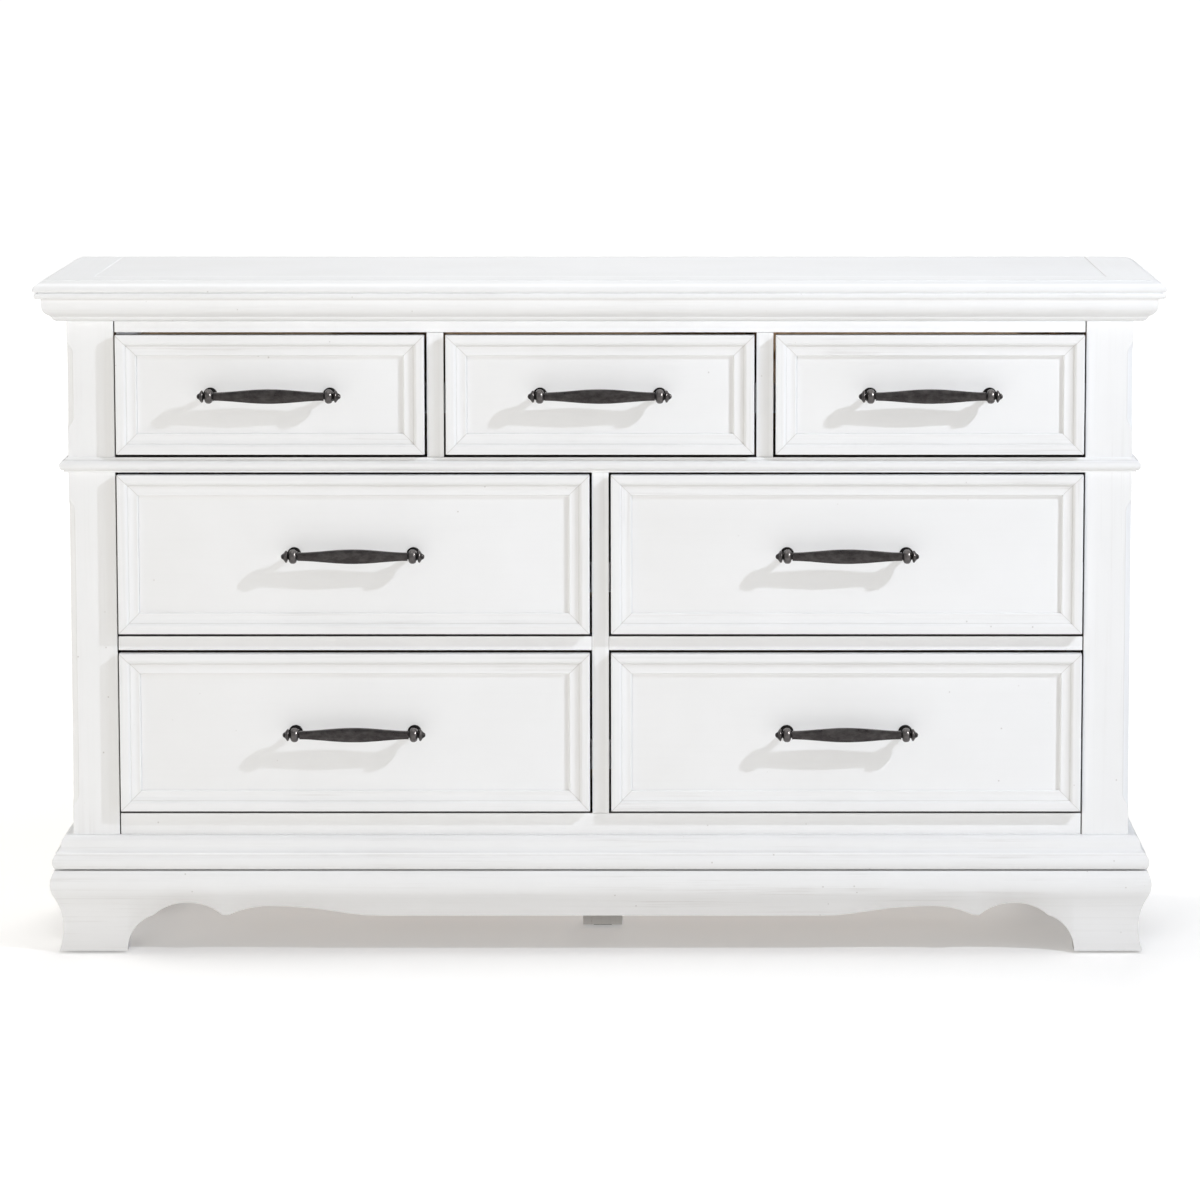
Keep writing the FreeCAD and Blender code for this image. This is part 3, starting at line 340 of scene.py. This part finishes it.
def wrapped(steps, level):
    """A moulding in three lengths round the front corners, each point offset from the case by its reach.

    The lengths end on the 45 degree planes through the corners, a hair apart.
    """
    section = moulded(steps)
    shading_and_wear = hollows(section)
    reach, z = section[:, 0], level + section[:, 1]
    x, y = HALF + reach, FACE - reach
    skins = [skin([placed(MITRE_GAP - x, y, z), placed(x - MITRE_GAP, y, z)], shading_and_wear)]
    for side in (-1, 1):
        skins.append(skin([placed(side * x, y + MITRE_GAP, z), placed(side * x, BACK, z)], shading_and_wear))
    return skins


def turned(profile, axis, centre, sides=TURNED_SIDES, shading_and_wear=0.0):
    """A turned piece: each (place along the axis, radius) of the profile is carried round a full circle."""
    place, radius = np.asarray(profile, float).T
    angle = np.linspace(0, 2 * math.pi, sides, endpoint=False)
    rings = np.empty((len(place), sides, 3))
    first, second = [other for other in range(3) if other != axis]
    rings[:, :, axis] = place[:, None]
    rings[:, :, first] = radius[:, None] * np.cos(angle)
    rings[:, :, second] = radius[:, None] * np.sin(angle)
    return skin(rings + np.asarray(centre, float), shading_and_wear)


def shaded(part, hidden):
    """The same skin with the painted shade of a gap, in dark brown, where the test on its points holds."""
    points, faces, shading_and_wear = part
    return points, faces, np.where(hidden(points), GAP_SHADE, shading_and_wear)


def behind_face(points):
    """Test for points so far behind the face frame's front that they take the painted shade of the gaps."""
    return points[:, 1] > FACE + GAP_SHADE_DEPTH


def piece(name, skins, finish, body, slot, *nodes):
    """One finished piece from several skins, which rides on a body and stands for the named solids.

    The finish is one material for all skins, or a list with one for each.
    """
    finishes = finish if isinstance(finish, list) else [finish] * len(skins)
    materials = list(dict.fromkeys(finishes))
    offset, faces, choice = 0, [], []
    for (points, quads, _), material in zip(skins, finishes):
        faces += [[corner + offset for corner in face] for face in quads]
        choice += [materials.index(material)] * len(quads)
        offset += len(points)
    mesh = bpy.data.meshes.new(name)
    mesh.from_pydata((np.concatenate([points for points, _, _ in skins]) * MM).tolist(), [], faces)
    for material in materials:
        mesh.materials.append(material)
    mesh.polygons.foreach_set("material_index", choice)
    shading_and_wear = mesh.attributes.new("shading_and_wear", "FLOAT", "POINT")
    shading_and_wear.data.foreach_set("value", np.concatenate([values for _, _, values in skins]).astype(np.float32))
    shell = bmesh.new()
    shell.from_mesh(mesh)
    bmesh.ops.recalc_face_normals(shell, faces=shell.faces)
    shell.to_mesh(mesh)
    shell.free()
    mesh.shade_smooth()
    mesh.set_sharp_from_angle(angle=SHARP)
    finished = bpy.data.objects.new(name, mesh)
    bpy.context.scene.collection.objects.link(finished)
    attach(finished, body)
    if nodes:
        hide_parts(*nodes)


def painted(node, skins, finish, body="case"):
    """A painted piece that stands for one solid."""
    piece(node + "_fine", skins, finish, body, "white_paint", node)


# Materials


def new_material(name):
    """An empty material with its shader, a short way to add nodes and one to feed the shader's inputs."""
    material = bpy.data.materials.new(name)
    material.use_nodes = True
    tree = material.node_tree

    def put(node, inputs):
        """Inputs of a node, each linked to a socket or set to a value."""
        for key, value in inputs.items():
            if isinstance(value, bpy.types.NodeSocket):
                tree.links.new(value, node.inputs[key])
            else:
                node.inputs[key].default_value = value

    def add(kind, inputs=None, **settings):
        """A new node with its settings, and then its inputs."""
        node = tree.nodes.new(kind)
        for key, value in settings.items():
            setattr(node, key, value)
        put(node, inputs or {})
        return node

    def feed(**inputs):
        """The shader's inputs, whose names have underscores for spaces here."""
        put(tree.nodes["Principled BSDF"], {key.replace("_", " "): value for key, value in inputs.items()})

    return material, add, feed


def stretched(along, across, length):
    """Scales of a pattern that is drawn out along one axis."""
    return [length if axis == along else across for axis in range(3)]


def grain(add, stretch, scale, detail=5.0, rough=0.55):
    """Noise on object coordinates, stretched along one axis."""
    place = add("ShaderNodeTexCoord").outputs["Object"]
    drawn = add("ShaderNodeMapping", {"Vector": place, "Scale": stretch}).outputs["Vector"]
    noise = {"Vector": drawn, "Scale": scale, "Detail": detail, "Roughness": rough}
    return add("ShaderNodeTexNoise", noise).outputs["Fac"]


def even_grain(add, scale, detail):
    """Noise on object coordinates, the same in all directions."""
    return grain(add, (1, 1, 1), scale, detail)


def ramp(add, value, low, high, first=0.0, last=1.0):
    """A value between two limits, spread to another range and held at its ends."""
    limits = {"Value": value, "From Min": low, "From Max": high, "To Min": first, "To Max": last}
    return add("ShaderNodeMapRange", limits).outputs["Result"]


def times(add, first, second):
    """The product of two values."""
    return add("ShaderNodeMath", {0: first, 1: second}, operation="MULTIPLY").outputs[0]


def mixed(add, factor, first, second):
    """A colour between a first one, which may be a socket, and a second."""
    start = first if isinstance(first, bpy.types.NodeSocket) else (*first, 1)
    inputs = {"Factor": factor, FIRST_COLOUR: start, SECOND_COLOUR: (*second, 1)}
    return add("ShaderNodeMix", inputs, data_type="RGBA").outputs[MIXED_COLOUR]


def bumped(add, height, strength, distance):
    """Surface directions tilted by the slope of a height."""
    relief = {"Height": height, "Strength": strength, "Distance": distance}
    return add("ShaderNodeBump", relief).outputs["Normal"]


def point_shading(add):
    """The painted shade, painted highlight, glaze and rubbing of each point."""
    return add("ShaderNodeAttribute", attribute_name="shading_and_wear").outputs["Fac"]


def paint(name, along, brushed):
    """White paint over wood: grain lines, soft clouds, fine specks, a warm glaze, painted shade and painted
    highlights.
    """
    material, add, feed = new_material(name)
    lines = grain(add, stretched(along, across=190.0, length=4.0), scale=1.0, detail=6.0, rough=0.62)
    clouds = even_grain(add, scale=5.0, detail=3.0)
    shading_and_wear = point_shading(add)
    tone = mixed(add, ramp(add, clouds, 0.3, 0.75), WHITE, CLOUD_WHITE)
    tone = mixed(add, ramp(add, lines, 0.5, 0.78, 0.0, 0.05 + 0.3 * brushed), tone, LINE_GREY)
    patches = times(add, ramp(add, lines, 0.56, 0.66), ramp(add, clouds, 0.5, 0.62))
    tone = mixed(add, ramp(add, patches, 0, 1, 0.0, 0.3 * brushed), tone, PATCH_GREY)
    # Glaze with painted shade in hollows, painted highlights on arrises, and painted shade in gaps in dark
    # brown
    tone = mixed(add, ramp(add, shading_and_wear, 0.25, 1.5, 0.0, 0.38), tone, GLAZE_AND_SHADE_BROWN)
    tone = mixed(add, ramp(add, shading_and_wear, -0.4, -1.3, 0.0, 0.8), tone, ARRIS_HIGHLIGHT_WHITE)
    tone = mixed(add, ramp(add, shading_and_wear, 2.0, GAP_SHADE), tone, GAP_SHADE_BROWN)
    # Specks are the middles of cells, kept in a few places only
    place = add("ShaderNodeTexCoord").outputs["Object"]
    cells = add("ShaderNodeTexVoronoi", {"Vector": place, "Scale": 34.0}, feature="F1").outputs["Distance"]
    few = ramp(add, even_grain(add, scale=3.0, detail=2.0), 0.5, 0.56)
    tone = mixed(add, times(add, ramp(add, cells, 0.03, 0.055, 0.36, 0.0), few), tone, SPECK_BROWN)
    feed(Base_Color=tone, Roughness=ramp(add, lines, 0.3, 0.7, 0.38, 0.5),
         Normal=bumped(add, lines, strength=0.05 + 0.12 * brushed, distance=0.0006))
    return material


def light_wood(name, along):
    """Clear finished light wood: long fibres, wider growth bands and a slow change of tone."""
    material, add, feed = new_material(name)
    fibres = grain(add, stretched(along, across=55.0, length=1.2), scale=1.6, detail=7.0, rough=0.65)
    bands = grain(add, stretched(along, across=9.0, length=0.5), scale=1.3, detail=3.0, rough=0.5)
    tone = mixed(add, ramp(add, bands, 0.35, 0.68), WOOD_PALE, WOOD_DEEP)
    tone = mixed(add, ramp(add, fibres, 0.5, 0.75, 0.0, 0.5), tone, WOOD_FIBRE)
    feed(Base_Color=tone, Roughness=ramp(add, fibres, 0.3, 0.7, 0.42, 0.6),
         Normal=bumped(add, fibres, strength=0.15, distance=0.0005))
    return material


def patina(name):
    """Dark pewter: a brown-black skin, soft blotches, a fine cast texture, rubbed metal and painted
    highlights, patina and painted shade.
    """
    material, add, feed = new_material(name)
    blotches = grain(add, (0.5, 1, 1), scale=160.0, detail=5.0, rough=0.6)
    fine = grain(add, (1, 1, 1), scale=1500.0, detail=3.0, rough=0.6)
    shading_and_wear = point_shading(add)
    tone = mixed(add, ramp(add, blotches, 0.4, 0.66), PEWTER_DARK, PEWTER_PALE)
    tone = mixed(add, ramp(add, fine, 0.55, 0.8, 0.0, 0.5), tone, PEWTER_FINE)
    # Patina and painted shade in hollows and on the roses, rubbed metal and painted highlights on the beads
    tone = mixed(add, ramp(add, shading_and_wear, 0.1, 1.0, 0.0, 0.9), tone, PEWTER_PATINA_AND_SHADE)
    tone = mixed(add, ramp(add, shading_and_wear, -0.1, -1.0, 0.0, 0.5), tone, PEWTER_RUBBED_AND_HIGHLIGHT)
    feed(Base_Color=tone, Metallic=0.85, Roughness=ramp(add, blotches, 0.3, 0.7, 0.26, 0.38),
         Normal=bumped(add, fine, strength=0.1, distance=0.0002))
    return material


def zinc(name):
    """Zinc coated steel: drawn lines along the slide and a pale spangle."""
    material, add, feed = new_material(name)
    lines = grain(add, stretched(1, across=220.0, length=3.0), scale=1.0, detail=4.0)
    spangle = even_grain(add, scale=90.0, detail=2.0)
    tone = mixed(add, ramp(add, spangle, 0.35, 0.65), ZINC_DARK, ZINC_PALE)
    feed(Base_Color=tone, Metallic=0.9, Roughness=ramp(add, lines, 0.3, 0.7, 0.28, 0.42))
    return material


def pad_plastic(name):
    """Dark matt plastic with a fine grain."""
    material, add, feed = new_material(name)
    grit = even_grain(add, scale=900.0, detail=3.0)
    tone = mixed(add, ramp(add, grit, 0.35, 0.65), PAD_DARK, PAD_PALE)
    feed(Base_Color=tone, Roughness=ramp(add, grit, 0.3, 0.7, 0.5, 0.7))
    return material


# Paint and wood come in three kinds each, with the grain across, deep or upright
PAINT = [paint("paint_across", 0, 0.0), paint("paint_deep", 1, 0.1), paint("paint_upright", 2, 0.35)]
BRUSHED = [paint(name, along, 0.65)
           for along, name in enumerate(("brushed_across", "brushed_deep", "brushed_upright"))]
WOOD = [light_wood(name, along) for along, name in enumerate(("wood_across", "wood_deep", "wood_upright"))]
METAL = patina("dark_pewter")
STEEL = zinc("zinc_steel")
PLASTIC = pad_plastic("pad_plastic")


def dress_solids():
    """Finishes for the solids that show as they are: the paint or wood whose grain runs along each piece."""
    finishes = {
        PAINT[0]: ["rear_feet"],
        PAINT[2]: ["side_panels", "support_blocks"],
        WOOD[0]: ["dust_panels", "bottom_panel", "back_panel"],
        WOOD[1]: ["partitions"],
        PLASTIC: ["floor_glides"],
        STEEL: ["slide_channels"],
    }
    for name in DRAWERS:
        finishes[WOOD[1]].append(f"drawer_{name}_box")
        finishes[WOOD[0]].append(f"drawer_{name}_bottom")
        finishes[STEEL].append(f"drawer_{name}_slides")
    for material, nodes in finishes.items():
        for node in nodes:
            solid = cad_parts[node]
            solid.data.materials.clear()
            solid.data.materials.append(material)


def make_mouldings():
    """Crown, waist and base mouldings, each carried round the front corners in three mitred lengths."""
    painted("crown_moulding", wrapped(CROWN, UNDERSIDE), BRUSHED[0])
    for name, steps in (("waist_moulding", WAIST), ("base_moulding", BASE)):
        painted(name, wrapped(steps, span(name)[0][2]), BRUSHED[0])


def top_section(width, ease):
    """The moulded edge of the top with the flat board behind it, finished, and the painted shading of its
    points.
    """
    section = moulded([(-width, 0)] + TOP_EDGE + [(-width, TOP_THICKNESS)], ease)
    return section[:, 0], section[:, 1], hollows(section)


def make_top():
    """The top's boards: the moulded edge is carried round the front board and along both end boards."""
    reach, rise, shading_and_wear = top_section(TOP_HIGH[1] - TOP_LOW[1] - TOP_GAP, TOP_EASE)
    z = UNDERSIDE + rise
    x, y = TOP_HIGH[0] + reach, TOP_LOW[1] - reach
    rings = [placed(-x, TOP_HIGH[1], z), placed(-x, y, z), placed(x, y, z), placed(x, TOP_HIGH[1], z)]
    painted("top_front_board", [skin(rings, shading_and_wear)], PAINT[0])

    width = END_HIGH[0] - PANEL_HIGH[0]
    reach, rise, shading_and_wear = top_section(width, END_EASE)
    z = UNDERSIDE + rise
    joint = (reach < END_EASE - width) & (rise > TOP_JOINT)
    skins = []
    # Painted highlight along the left joint and a painted shade line along the right one
    for side, tone in ((-1, JOINT_HIGHLIGHT), (1, JOINT_SHADE)):
        x = side * (END_HIGH[0] + reach)
        rings = [placed(x, END_LOW[1], z), placed(x, END_HIGH[1], z)]
        skins.append(skin(rings, np.where(joint, tone, shading_and_wear)))
    painted("top_end_boards", skins, PAINT[1])
    painted("top_panel", [board(PANEL_LOW, PANEL_HIGH, 0, PANEL_EASE)], PAINT[0])


def make_face_frame():
    """Rails and dividers of the face frame: boards with eased edges, a hair short of the pieces they join."""
    inner = HALF - POST_WIDTH - JOINT_GAP
    half = DIVIDER / 2 + DIVIDER_GAP

    def in_joint(points):
        """Test for points on the ends of a rail, behind the white painted edge, which take painted shade."""
        return (np.abs(points[:, 0]) > inner - JOINT_EDGE) & (points[:, 1] > FACE + JOINT_SHADE_DEPTH)

    whole, halves = [(-inner, inner)], [(-inner, -half), (half, inner)]
    for name in ("top_rail", "waist_rail", "bottom_rail", "middle_rails"):
        low, high = span(name)
        top = high[2] - (0 if name == "top_rail" else SILL_DROP)
        skins = [board((first, low[1], low[2]), (last, high[1], top))
                 for first, last in (halves if name == "middle_rails" else whole)]
        painted(name, [shaded(shaded(part, behind_face), in_joint) for part in skins], PAINT[0])

    low, high = span("dividers")
    lower = span("bottom_rail")[1][2], span("waist_rail")[0][2]
    upper = span("waist_rail")[1][2], span("top_rail")[0][2]
    skins = []
    for first, (bottom, top) in ((-DIVIDER / 2, lower), (low[0], upper), (high[0] - DIVIDER, upper)):
        skins.append(board((first, low[1], bottom - SILL_DROP + DIVIDER_GAP),
                           (first + DIVIDER, high[1], top - DIVIDER_GAP), 2))
    painted("dividers", [shaded(part, behind_face) for part in skins], PAINT[2])


def make_sides():
    """Side rails and rear posts: eased boards a hair apart, so that each joint shows as a fine line."""
    low, high = span("side_rails")
    near, far = POST_HIGH[1] + SIDE_GAP, span("rear_posts")[0][1] - SIDE_GAP
    skins = [board((first, near, bottom), (first + RAIL_THICKNESS, far, top), 1)
             for first in (low[0], high[0] - RAIL_THICKNESS) for bottom, top in SIDE_RAILS]
    painted("side_rails", skins, PAINT[1])
    low, high = span("rear_posts")
    skins = [board((first, low[1], low[2]), (first + POST_WIDTH, high[1], high[2]), 2)
             for first in (-HALF, HALF - POST_WIDTH)]
    painted("rear_posts", skins, PAINT[2])


def make_back_screws():
    """Screws of the back panel: turned pan heads with a dished middle, evenly spaced round the edge."""
    low, high = span("back_panel")
    across = np.linspace(low[0] + SCREW_INSET, high[0] - SCREW_INSET, SCREWS_ACROSS)
    up = np.linspace(low[2] + SCREW_INSET, high[2] - SCREW_INSET, SCREWS_UP)
    places = [(x, z) for x in across for z in (up[0], up[-1])]
    places += [(x, z) for x in (across[0], across[-1]) for z in up[1:-1]]
    skins = [turned(SCREW_HEAD, 1, (x, high[1] - SCREW_SINK, z), SCREW_SIDES) for x, z in places]
    piece("back_screws", skins, STEEL, "case", "slide_steel")


def chamfer_leg(z):
    """Leg of the post's chamfer at each height: an ogee of two parabolas at both ends of each run."""
    leg = np.full(z.shape, EASE)
    for low, high in CHAMFERS:
        inside = np.clip(np.minimum(z - low, high - z) / TONGUE, 0, 1)
        ogee = np.where(inside < 0.5, 2 * inside ** 2, 1 - 2 * (1 - inside) ** 2)
        leg = np.maximum(leg, CHAMFER * ogee)
    return leg


def make_posts():
    """Front posts: a rectangle whose outer front corner is cut off by a leg that changes with the height."""
    inner, outer = HALF - POST_WIDTH, HALF
    front, back = POST_LOW[1], POST_HIGH[1]
    gap = front + GAP_SHADE_DEPTH
    heights = [[POST_LOW[2], POST_HIGH[2]]]
    for low, high in CHAMFERS:
        heights.append(np.linspace(low, low + TONGUE, TONGUE_ROWS))
        heights.append(np.linspace(high, high - TONGUE, TONGUE_ROWS))
    z = np.unique(np.concatenate(heights))
    leg = chamfer_leg(z)
    corners = [(inner + EASE, front), (outer - leg - ARRIS_LINE, front), (outer - leg, front),
               (outer - (1 - ARRIS_TURN) * leg, front + ARRIS_TURN * leg), (outer, front + leg),
               (outer, back - EASE), (outer - EASE, back), (inner + EASE, back), (inner, back - EASE),
               (inner, gap + FADE_END), (inner, gap + FADE_START), (inner, front + EASE)]
    rings = np.stack([placed(x, y, z) for x, y in corners], 1)
    darkening = np.zeros(rings.shape[:2])
    darkening[:, ARRIS_CORNER] = ARRIS_GLAZE * (leg - EASE) / CHAMFER

    def in_gap(points):
        """Test for points on the side towards the drawers, behind the white painted edge, which take painted
        shade.
        """
        return behind_face(points) & (np.abs(points[:, 0]) < inner + POST_EDGE)

    skins = [shaded(skin(part, darkening), in_gap) for part in (rings, rings * MIRROR)]
    painted("front_posts", skins, PAINT[2])


def make_bracket_base():
    """Bracket base: an ogee over a scalloped edge, so that each column runs from the edge to the top."""
    section = outline(BRACKET)
    level, top = BRACKET_LOW[2], BRACKET_HIGH[2]
    rise = np.linspace(0, 1, BRACKET_ROWS)
    # Painted shade, darker towards the lower edge
    darkening = np.concatenate([FOOT_SHADE * (1 - rise) ** FOOT_FADE, [0, 0]])

    def columns(edge):
        """Place, height and reach of the points of each column over a lower edge."""
        z = edge[:, 1:] + rise * (top - edge[:, 1:])
        return np.repeat(edge[:, :1], len(rise), 1), z, np.interp(z, level + section[:, 1], section[:, 0])

    half = outline(SCALLOP)
    half[:, 1] = np.maximum(half[:, 1], level)
    half = np.concatenate([half, [(HALF, level)]])
    edge = np.concatenate([half[:0:-1] * (-1, 1), half])
    x, z, reach = columns(edge)
    x[0], x[-1] = -HALF - reach[0] + MITRE_GAP, HALF + reach[-1] - MITRE_GAP
    inner = np.clip(edge[:, :1], BRACKET_INSET - HALF, HALF - BRACKET_INSET)
    behind = FACE + BRACKET_INSET
    rings = np.concatenate([placed(x, FACE - reach, z), placed(inner, behind, top),
                            placed(inner, behind, edge[:, 1:])], 1)
    painted("bracket_base_front", [skin(rings, darkening)], BRUSHED[0])

    near, far = FACE + SIDE_FOOT - SIDE_FOOT_REACH, BACK - SIDE_FOOT + ARCH_RUN
    edge = outline([(FACE + BRACKET_INSET, level), (near - ARCH_RUN, level),
                    (near, ARCH_HEIGHT, ARCH_END_RADIUS, -1), (far - ARCH_RUN, ARCH_HEIGHT, ARCH_RADIUS, -1),
                    (far, level, ARCH_END_RADIUS, -1), (BACK, level)])
    edge[:, 1] = np.maximum(edge[:, 1], level)
    y, z, reach = columns(edge)
    y[0] = FACE - reach[0] + MITRE_GAP
    inner = HALF - BRACKET_INSET
    rings = np.concatenate([placed(HALF + reach, y, z), placed(inner, edge[:, :1], top),
                            placed(inner, edge[:, :1], edge[:, 1:])], 1)
    painted("bracket_base_sides", [skin(rings, darkening), skin(rings * MIRROR, darkening)], BRUSHED[1])


def drawer_front(name):
    """A drawer front: a board, and the frame section carried along its four edges to mitred corners."""
    node = f"drawer_{name}_front"
    low, high = span(node)
    panel = span(f"drawer_{name}_pull")[1][1]
    trim = np.array([EDGE_TRIM, 0, EDGE_TRIM])
    low, high = low + trim, high - trim
    skins = [board((low[0] + FRONT_INSET, panel, low[2] + FRONT_INSET),
                   (high[0] - FRONT_INSET, high[1], high[2] - FRONT_INSET), 0, FRONT_EASE)]

    section = moulded(DRAWER_FRAME, FRAME_EASE, FRAME_FILL)
    shading_and_wear = hollows(section, FRAME_HOLLOW)
    line = np.maximum(shading_and_wear, MITRE_GLAZE)
    shading_and_wear = np.stack([line, shading_and_wear, shading_and_wear, line])
    run, y = section[:, 0], panel - section[:, 1]
    back = np.array([MITRE_GAP, MITRE_GAP + MITRE_LINE])[:, None]
    across = np.concatenate([low[0] + run + back, high[0] - run - back[::-1]])
    upright = np.concatenate([low[2] + run + back, high[2] - run - back[::-1]])
    skins += [skin(placed(across, y, z), shading_and_wear) for z in (low[2] + run, high[2] - run)]
    skins += [skin(placed(x, y, upright), shading_and_wear) for x in (low[0] + run, high[0] - run)]

    def in_gap(points):
        """Test for points on the four edges of the front, behind the white painted face, which take painted
        shade.
        """
        flat = points[:, [0, 2]]
        outside = (flat < low[[0, 2]] + EDGE_SHADE_BAND) | (flat > high[[0, 2]] - EDGE_SHADE_BAND)
        return outside.any(1) & behind_face(points)

    finishes = [PAINT[0], BRUSHED[0], BRUSHED[0], BRUSHED[2], BRUSHED[2]]
    painted(node, [shaded(part, in_gap) for part in skins], finishes, "drawer_" + name)


def rounded(value):
    """A sine or cosine drawn towards its sign, which makes a circle a rounded square."""
    return np.sign(value) * np.abs(value) ** BAR_ROUND


def bar_pull(name):
    """A bar pull: a swelling bar of rounded section between turned ends, on stems with round roses."""
    node = f"drawer_{name}_pull"
    low, high = span(node)
    centre = np.array([(low[0] + high[0]) / 2, high[1] - STANDOFF, (low[2] + high[2]) / 2])
    reach = PULL_HALF - BEAD_HALF - BAR_GAP
    x = np.linspace(-reach, reach, BAR_ROWS)
    swell = (0.5 + 0.5 * np.cos(math.pi * x / reach)) ** BAR_SWELL
    half_height = (BAR_END + (BAR_MIDDLE - BAR_END) * swell) / 2
    angle = np.linspace(0, 2 * math.pi, BAR_SIDES, endpoint=False)
    across = rounded(np.cos(angle)) * BAR_DEPTH / 2
    skins = [skin(placed(x[:, None], across, half_height[:, None] * rounded(np.sin(angle))) + centre)]

    t = np.linspace(-1, 1, BEAD_ROWS)
    bulge = NECK_RADIUS + BEAD_RISE * np.sqrt(np.maximum(1 - np.abs(t) ** BEAD_POWER, 0))
    bead = np.stack([BEAD_HALF * t, bulge], 1)
    end = np.concatenate([[(-BEAD_HALF - NECK_LENGTH, NECK_RADIUS)], bead, FINIAL])
    # Patina and painted shade at the necks, rubbed metal and a painted highlight at the beads' widest,
    # painted shade on the roses
    end_shading = np.interp(end[:, 1], BEAD_SHADING_RADII, BEAD_SHADING)[:, None]
    stem = ROSE + [(-STANDOFF, STEM_RADIUS)]
    for side in (-1, 1):
        post = centre + (side * PULL_HALF, 0, 0)
        skins.append(turned(end * (side, 1), 0, post, shading_and_wear=end_shading))
        skins.append(turned(stem, 1, post + (0, STANDOFF, 0), shading_and_wear=STEM_SHADE))
    piece(node + "_fine", skins, METAL, "drawer_" + name, "dark_metal", node)


def make_floor():
    """A pale floor that stays white to the camera but keeps the shadow."""
    corners = [(x * FLOOR_HALF, y * FLOOR_HALF, 0) for x, y in ((-1, -1), (1, -1), (1, 1), (-1, 1))]
    mesh = bpy.data.meshes.new("floor")
    mesh.from_pydata(corners, [], [(0, 1, 2, 3)])
    floor = bpy.data.objects.new("floor", mesh)
    bpy.context.scene.collection.objects.link(floor)
    material, add, feed = new_material("pale_floor")
    seen = add("ShaderNodeLightPath").outputs["Is Camera Ray"]
    place = add("ShaderNodeTexCoord").outputs["Object"]
    far = add("ShaderNodeVectorMath", {0: place}, operation="LENGTH").outputs["Value"]
    lift = ramp(add, far, LIFT_NEAR, LIFT_FAR, LIFT_LOW, LIFT_HIGH)
    feed(Base_Color=(*FLOOR_TONE, 1), Roughness=FLOOR_ROUGHNESS, Emission_Color=(1, 1, 1, 1),
         Emission_Strength=times(add, lift, seen))
    mesh.materials.append(material)


def make_surrounding():
    """A white surrounding that is dim as light, brighter in reflections and full to the camera."""
    world = bpy.data.worlds.new("studio")
    bpy.context.scene.world = world
    world.use_nodes = True
    nodes, links = world.node_tree.nodes, world.node_tree.links
    background = nodes["Background"]
    background.inputs["Color"].default_value = (1, 1, 1, 1)
    path = nodes.new("ShaderNodeLightPath")
    reflected, seen = nodes.new("ShaderNodeMix"), nodes.new("ShaderNodeMix")
    links.new(path.outputs["Is Glossy Ray"], reflected.inputs["Factor"])
    reflected.inputs["A"].default_value = AMBIENT
    reflected.inputs["B"].default_value = REFLECTED
    links.new(path.outputs["Is Camera Ray"], seen.inputs["Factor"])
    links.new(reflected.outputs["Result"], seen.inputs["A"])
    seen.inputs["B"].default_value = SEEN
    links.new(seen.outputs["Result"], background.inputs["Strength"])


def lamp(name, place, size, power, aim, tint):
    """A square soft lamp at a place, turned towards a point of the dresser."""
    light = bpy.data.lights.new(name, "AREA")
    light.shape = "SQUARE"
    light.size = size
    light.energy = power
    light.color = tint
    holder = bpy.data.objects.new(name, light)
    bpy.context.scene.collection.objects.link(holder)
    way = np.array(aim) - np.array(place)
    holder.location = place
    holder.rotation_euler = (math.atan2(math.hypot(way[0], way[1]), -way[2]), 0, math.atan2(-way[0], way[1]))
    return holder


def gathered(name, members):
    """A collection of finished pieces, for a lamp to name."""
    group = bpy.data.collections.new(name)
    for member in members:
        group.objects.link(bpy.data.objects[member])
    return group


def make_lights():
    """One small lamp at the upper right, whose shadows fall to the lower left, and wide soft ones all round.

    Some lamps cast no shadow of the pulls or of the overhanging pieces, and the glint lights the pulls only.
    """
    holders = {row[0]: lamp(*row) for row in LAMPS}
    for name in NOT_REFLECTED:
        holders[name].visible_glossy = False
    for name, members in SHADOWLESS.items():
        blockers = gathered(name + "_blockers", members)
        for item in blockers.collection_objects:
            item.light_linking.link_state = "EXCLUDE"
        holders[name].light_linking.blocker_collection = blockers
    holders["glint"].light_linking.receiver_collection = gathered("glint_lit", PULLS)


def make_camera():
    """The photograph's view: a long lens a little right of the middle and above the top."""
    camera = bpy.data.cameras.new("camera")
    camera.lens = LENS
    camera.sensor_width = SENSOR
    camera.shift_x, camera.shift_y = SHIFT
    camera.clip_end = CLIP_END
    holder = bpy.data.objects.new("camera", camera)
    holder.location = EYE
    holder.rotation_euler = (math.pi / 2 - TILT, 0, 0)
    bpy.context.scene.collection.objects.link(holder)
    bpy.context.scene.camera = holder
    bpy.context.scene.view_settings.view_transform = "Standard"


dress_solids()
make_mouldings()
make_top()
make_face_frame()
make_sides()
make_back_screws()
make_posts()
make_bracket_base()
for drawer in DRAWERS:
    drawer_front(drawer)
    bar_pull(drawer)
make_floor()
make_surrounding()
make_lights()
make_camera()
